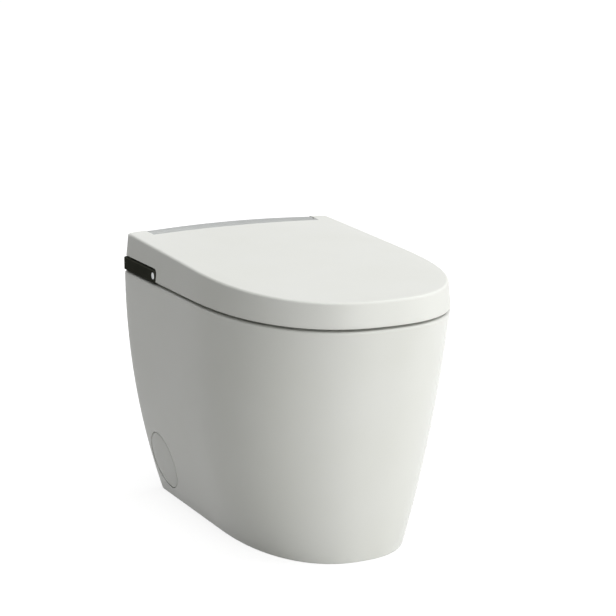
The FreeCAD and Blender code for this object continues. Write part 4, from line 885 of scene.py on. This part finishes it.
def lid_rows(work, ring, wall):
    """Closes a ring with rows of faces that run across the lid, from its rear edge to its tip."""
    def span(a, b):
        between = []
        for k in range(1, REAR_STEPS):
            x, y = (a.co.x + (b.co.x - a.co.x) * k / REAR_STEPS) / MM, a.co.y / MM
            between.append(work.verts.new((x * MM, y * MM, (lid_top(x, y) - wall) * MM)))
        return [a] + between + [b]

    flank = SIDE_STEPS + CORNER_STEPS
    tip = NOSE_STEPS // 2
    rows = [ring[NOSE_STEPS + flank:NOSE_STEPS + flank + REAR_STEPS + 1]]
    rows += [span(ring[NOSE_STEPS + k], ring[-k]) for k in range(flank - 1, -1, -1)]
    rows += [span(ring[NOSE_STEPS - k], ring[k]) for k in range(1, tip)]
    for near, far in zip(rows, rows[1:]):
        for k in range(REAR_STEPS):
            work.faces.new((near[k], near[k + 1], far[k + 1], far[k]))
    for k in range(REAR_STEPS):
        work.faces.new((rows[-1][k], rows[-1][k + 1], ring[tip]))


outside = lid_skin(0.0, LID_EDGE, LID_Z + 1.0)
inside = lid_skin(LID_WALL, 2.0, LID_Z + 0.5)
hem = [[(*drawn(i, 0.3), LID_Z + 0.3) for i in range(len(lid_plan))],
       [(*drawn(i, 1.0), LID_Z) for i in range(len(lid_plan))],
       [(*drawn(i, LID_WALL - 0.4), LID_Z) for i in range(len(lid_plan))]]
work = bmesh.new()
rows = laced(work, list(reversed(outside)) + hem + inside)
lid_rows(work, rows[0], 0.0)
lid_rows(work, rows[-1], LID_WALL)
lid = finished(work, 35)
notch = [(320, 395), (NOTCH_Y, 395)]
notch += [(NOTCH_Y + NOTCH_R - NOTCH_R * math.cos(a), NOTCH_Z - NOTCH_R + NOTCH_R * math.sin(a)) for a in arc]
notch += [(320, NOTCH_Z)]
heel_y = LID_REAR - (NOTCH_Z - LID_Z) * LID_TAPER
heel = [(320, NOTCH_Z - 1), (heel_y - NOTCH_R, NOTCH_Z - 1)]
heel += [(heel_y - NOTCH_R + NOTCH_R * math.sin(a), NOTCH_Z + NOTCH_R - NOTCH_R * math.cos(a)) for a in arc]
heel += [(320, NOTCH_Z + NOTCH_R)]
barrel_gap = prism("Z", rounded(-LID_GAP_HALF, LID_GAP_HALF, LID_GAP_Y, 330, 3), 395, 500)
ear_gap = prism("Z", rounded(-EAR_HALF, EAR_HALF, 288, 330, 2), 395, 448)
lug = [(AXIS_Y + LUG_R, LUG_TOP), (AXIS_Y - LUG_R, LUG_TOP)]
lug += [(AXIS_Y - LUG_R * math.cos(2 * a), AXIS_Z - LUG_R * math.sin(2 * a)) for a in arc]
lugs = [prism("X", lug, -LUG_OUT, -LUG_IN), prism("X", lug, LUG_IN, LUG_OUT)]
lid = carved(lid, [prism("X", notch, -230, 230), prism("X", heel, -230, 230), barrel_gap, ear_gap],
             smooth_angle=35)
lid = carved(lid, lugs, "UNION", 35)


def band(half, front, rear, low, high):
    """A slab that follows the lid's upper face, from a depth under it to a height over it."""
    corners = ((front, low), (rear, low), (rear, high), (front, high))
    rings = []
    for i in range(33):
        x = half * (i / 16 - 1)
        rings.append([(x, y, lid_top(x, y) + rise) for y, rise in corners])
    return skin(rings)


lid = carved(lid, [band(LID_GAP_HALF - 0.4, BAND_Y, LID_GAP_Y + 9, -BAND_T, 6.0)], smooth_angle=35)
lid = carved(lid, [prism("X", circle(AXIS_Y, AXIS_Z, SHAFT_BORE_R, 32), -180, 180)], smooth_angle=35)
piece("lid_moulding", lid, lid_resin, "lid_shell")
work = bmesh.new()
work.from_mesh(nodes["lid_liner"].data)
bmesh.ops.remove_doubles(work, verts=work.verts, dist=2e-6)
behind_band = prism("X", rounded(LID_GAP_Y - 4, 330, 390, 520, 1), -230, 230)
lining = carved(finished(work, 30), [behind_band], smooth_angle=30)
piece("lid_lining", lining, lid_resin, "lid_liner")
trim = bpy.data.objects.new("lid_band", band(LID_GAP_HALF - 0.5, BAND_Y + 0.1, LID_GAP_Y, -BAND_T, -0.05))
trim.data.name = "lid_band"
bpy.context.scene.collection.objects.link(trim)
trim.data.materials.append(silver_lacquer)
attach(trim, "lid")
work = bmesh.new()
for y, tall in ((-117.0, 22.2), (73.0, 30.1)):
    work.from_mesh(grown(pads, [(-LID_PAD_X, y, LID_PAD_Z), (LID_PAD_X, y, LID_PAD_Z)],
                         {"Pad Radius": 8.0, "Pad Height": tall, "Edge Roll": 1.6}))
piece("lid_pads", finished(work, 35), white_rubber, "lid_bumpers")

# Studio: a matt white floor that runs out of sight into white air.
# Four large soft lamps stand round the toilet: the key to its left, the others in front, above and
# behind. The floor keeps the toilet's shadow and turns to plain white away from it.

FLOOR_HALF = 30.0
FLOOR_BOUNCE = "CACAC8"
FLOOR_SEEN = "9C9C9C"
FADE_NEAR, FADE_FAR = 0.5, 1.6
GLOW_NEAR, GLOW_FAR = 0.84, 1.0
AIR_LIGHT = 0.1
LAMP_AWAY = 4.0
LAMP_SIZE = 2.4
LAMP_AIM_Z = 0.25


def looked_at(tree):
    """1 for rays that show the studio: straight to the eye, mirrored, or through something clear."""
    path = add(tree, "ShaderNodeLightPath", {}, {})
    shown = path.outputs["Is Camera Ray"]
    for ray in ("Is Glossy Ray", "Is Transmission Ray"):
        most = add(tree, "ShaderNodeMath", {"operation": "MAXIMUM"}, {0: shown, 1: path.outputs[ray]})
        shown = most.outputs[0]
    return shown


# Floor: matt paper. Its bounce light is a plain pale grey; what is seen of it glows up to white.
floor = bpy.data.objects.new("studio_floor", bpy.data.meshes.new("studio_floor"))
corners = [(FLOOR_HALF * x, FLOOR_HALF * y, 0) for x, y in ((-1, -1), (1, -1), (1, 1), (-1, 1))]
floor.data.from_pydata(corners, [], [(0, 1, 2, 3)])
bpy.context.scene.collection.objects.link(floor)
floor_paper = bpy.data.materials.new("studio_floor")
floor_paper.use_nodes = True
tree = floor_paper.node_tree
tree.nodes.clear()
matt = add(tree, "ShaderNodeBsdfDiffuse", {}, {"Color": linear(FLOOR_BOUNCE)})
seen = add(tree, "ShaderNodeBsdfDiffuse", {}, {"Color": linear(FLOOR_SEEN)})
spot = add(tree, "ShaderNodeTexCoord", {}, {}).outputs["Object"]
away = add(tree, "ShaderNodeVectorMath", {"operation": "LENGTH"}, {0: spot})
fade = add(tree, "ShaderNodeMapRange", {}, {
    "Value": away.outputs["Value"], "From Min": FADE_NEAR, "From Max": FADE_FAR,
    "To Min": GLOW_NEAR, "To Max": GLOW_FAR})
glow = add(tree, "ShaderNodeEmission", {}, {"Strength": fade.outputs["Result"]})
bright = add(tree, "ShaderNodeAddShader", {}, {0: seen.outputs[0], 1: glow.outputs[0]})
mix = add(tree, "ShaderNodeMixShader", {}, {0: looked_at(tree), 1: matt.outputs[0], 2: bright.outputs[0]})
add(tree, "ShaderNodeOutputMaterial", {}, {"Surface": mix.outputs[0]})
floor.data.materials.append(floor_paper)

world = bpy.data.worlds.new("studio_air")
bpy.context.scene.world = world
world.use_nodes = True
tree = world.node_tree
tree.nodes.clear()
air = add(tree, "ShaderNodeBackground", {}, {"Color": (1, 1, 1, 1), "Strength": AIR_LIGHT})
white = add(tree, "ShaderNodeBackground", {}, {"Color": (1, 1, 1, 1), "Strength": 1.0})
mix = add(tree, "ShaderNodeMixShader", {}, {0: looked_at(tree), 1: air.outputs[0], 2: white.outputs[0]})
add(tree, "ShaderNodeOutputWorld", {}, {"Surface": mix.outputs[0]})


# Lamps: square soft boxes aimed at the middle of the toilet, by compass turn, height and power.
for name, azimuth, elevation, watts in (("key_light", 60, 20, 66), ("front_light", 0, 8, 74),
                                        ("top_light", 0, 88, 92), ("rear_light", 180, 30, 12)):
    light = bpy.data.lights.new(name, "AREA")
    light.shape = "SQUARE"
    light.size = LAMP_SIZE
    light.energy = watts
    lamp = bpy.data.objects.new(name, light)
    bpy.context.scene.collection.objects.link(lamp)
    turn, lift = math.radians(azimuth), math.radians(elevation)
    lamp.location = (LAMP_AWAY * math.cos(lift) * math.sin(turn), -LAMP_AWAY * math.cos(lift) * math.cos(turn),
                     LAMP_AIM_Z + LAMP_AWAY * math.sin(lift))
    lamp.rotation_euler = (math.pi / 2 - lift, 0, turn)

# Camera: a long lens, in front and to the toilet's right-hand side, a little above the rim.
# It stands square to its own line of sight, moved aside and up so that the toilet sits low in the
# frame as in a catalogue picture.

CAMERA_TURN = -26.61
CAMERA_LIFT = 12.82
CAMERA_AIM = (0, -4.75, 240)
CAMERA_BACK = 3314.5
CAMERA_ASIDE = 6.8
CAMERA_UP = 129.2

turn, lift = math.radians(CAMERA_TURN), math.radians(CAMERA_LIFT)
back = (math.sin(turn) * math.cos(lift), -math.cos(turn) * math.cos(lift), math.sin(lift))
right = (math.cos(turn), math.sin(turn), 0.0)
up = (-math.sin(turn) * math.sin(lift), math.cos(turn) * math.sin(lift), math.cos(lift))
lens = bpy.data.cameras.new("camera")
lens.lens = 115.954
lens.sensor_width = 36.0
lens.clip_end = 100.0
camera = bpy.data.objects.new("camera", lens)
bpy.context.scene.collection.objects.link(camera)
camera.location = [(c + CAMERA_BACK * b + CAMERA_ASIDE * r + CAMERA_UP * u) * MM
                   for c, b, r, u in zip(CAMERA_AIM, back, right, up)]
camera.rotation_euler = (math.pi / 2 - lift, 0, turn)
bpy.context.scene.camera = camera
bpy.context.scene.view_settings.view_transform = "Standard"
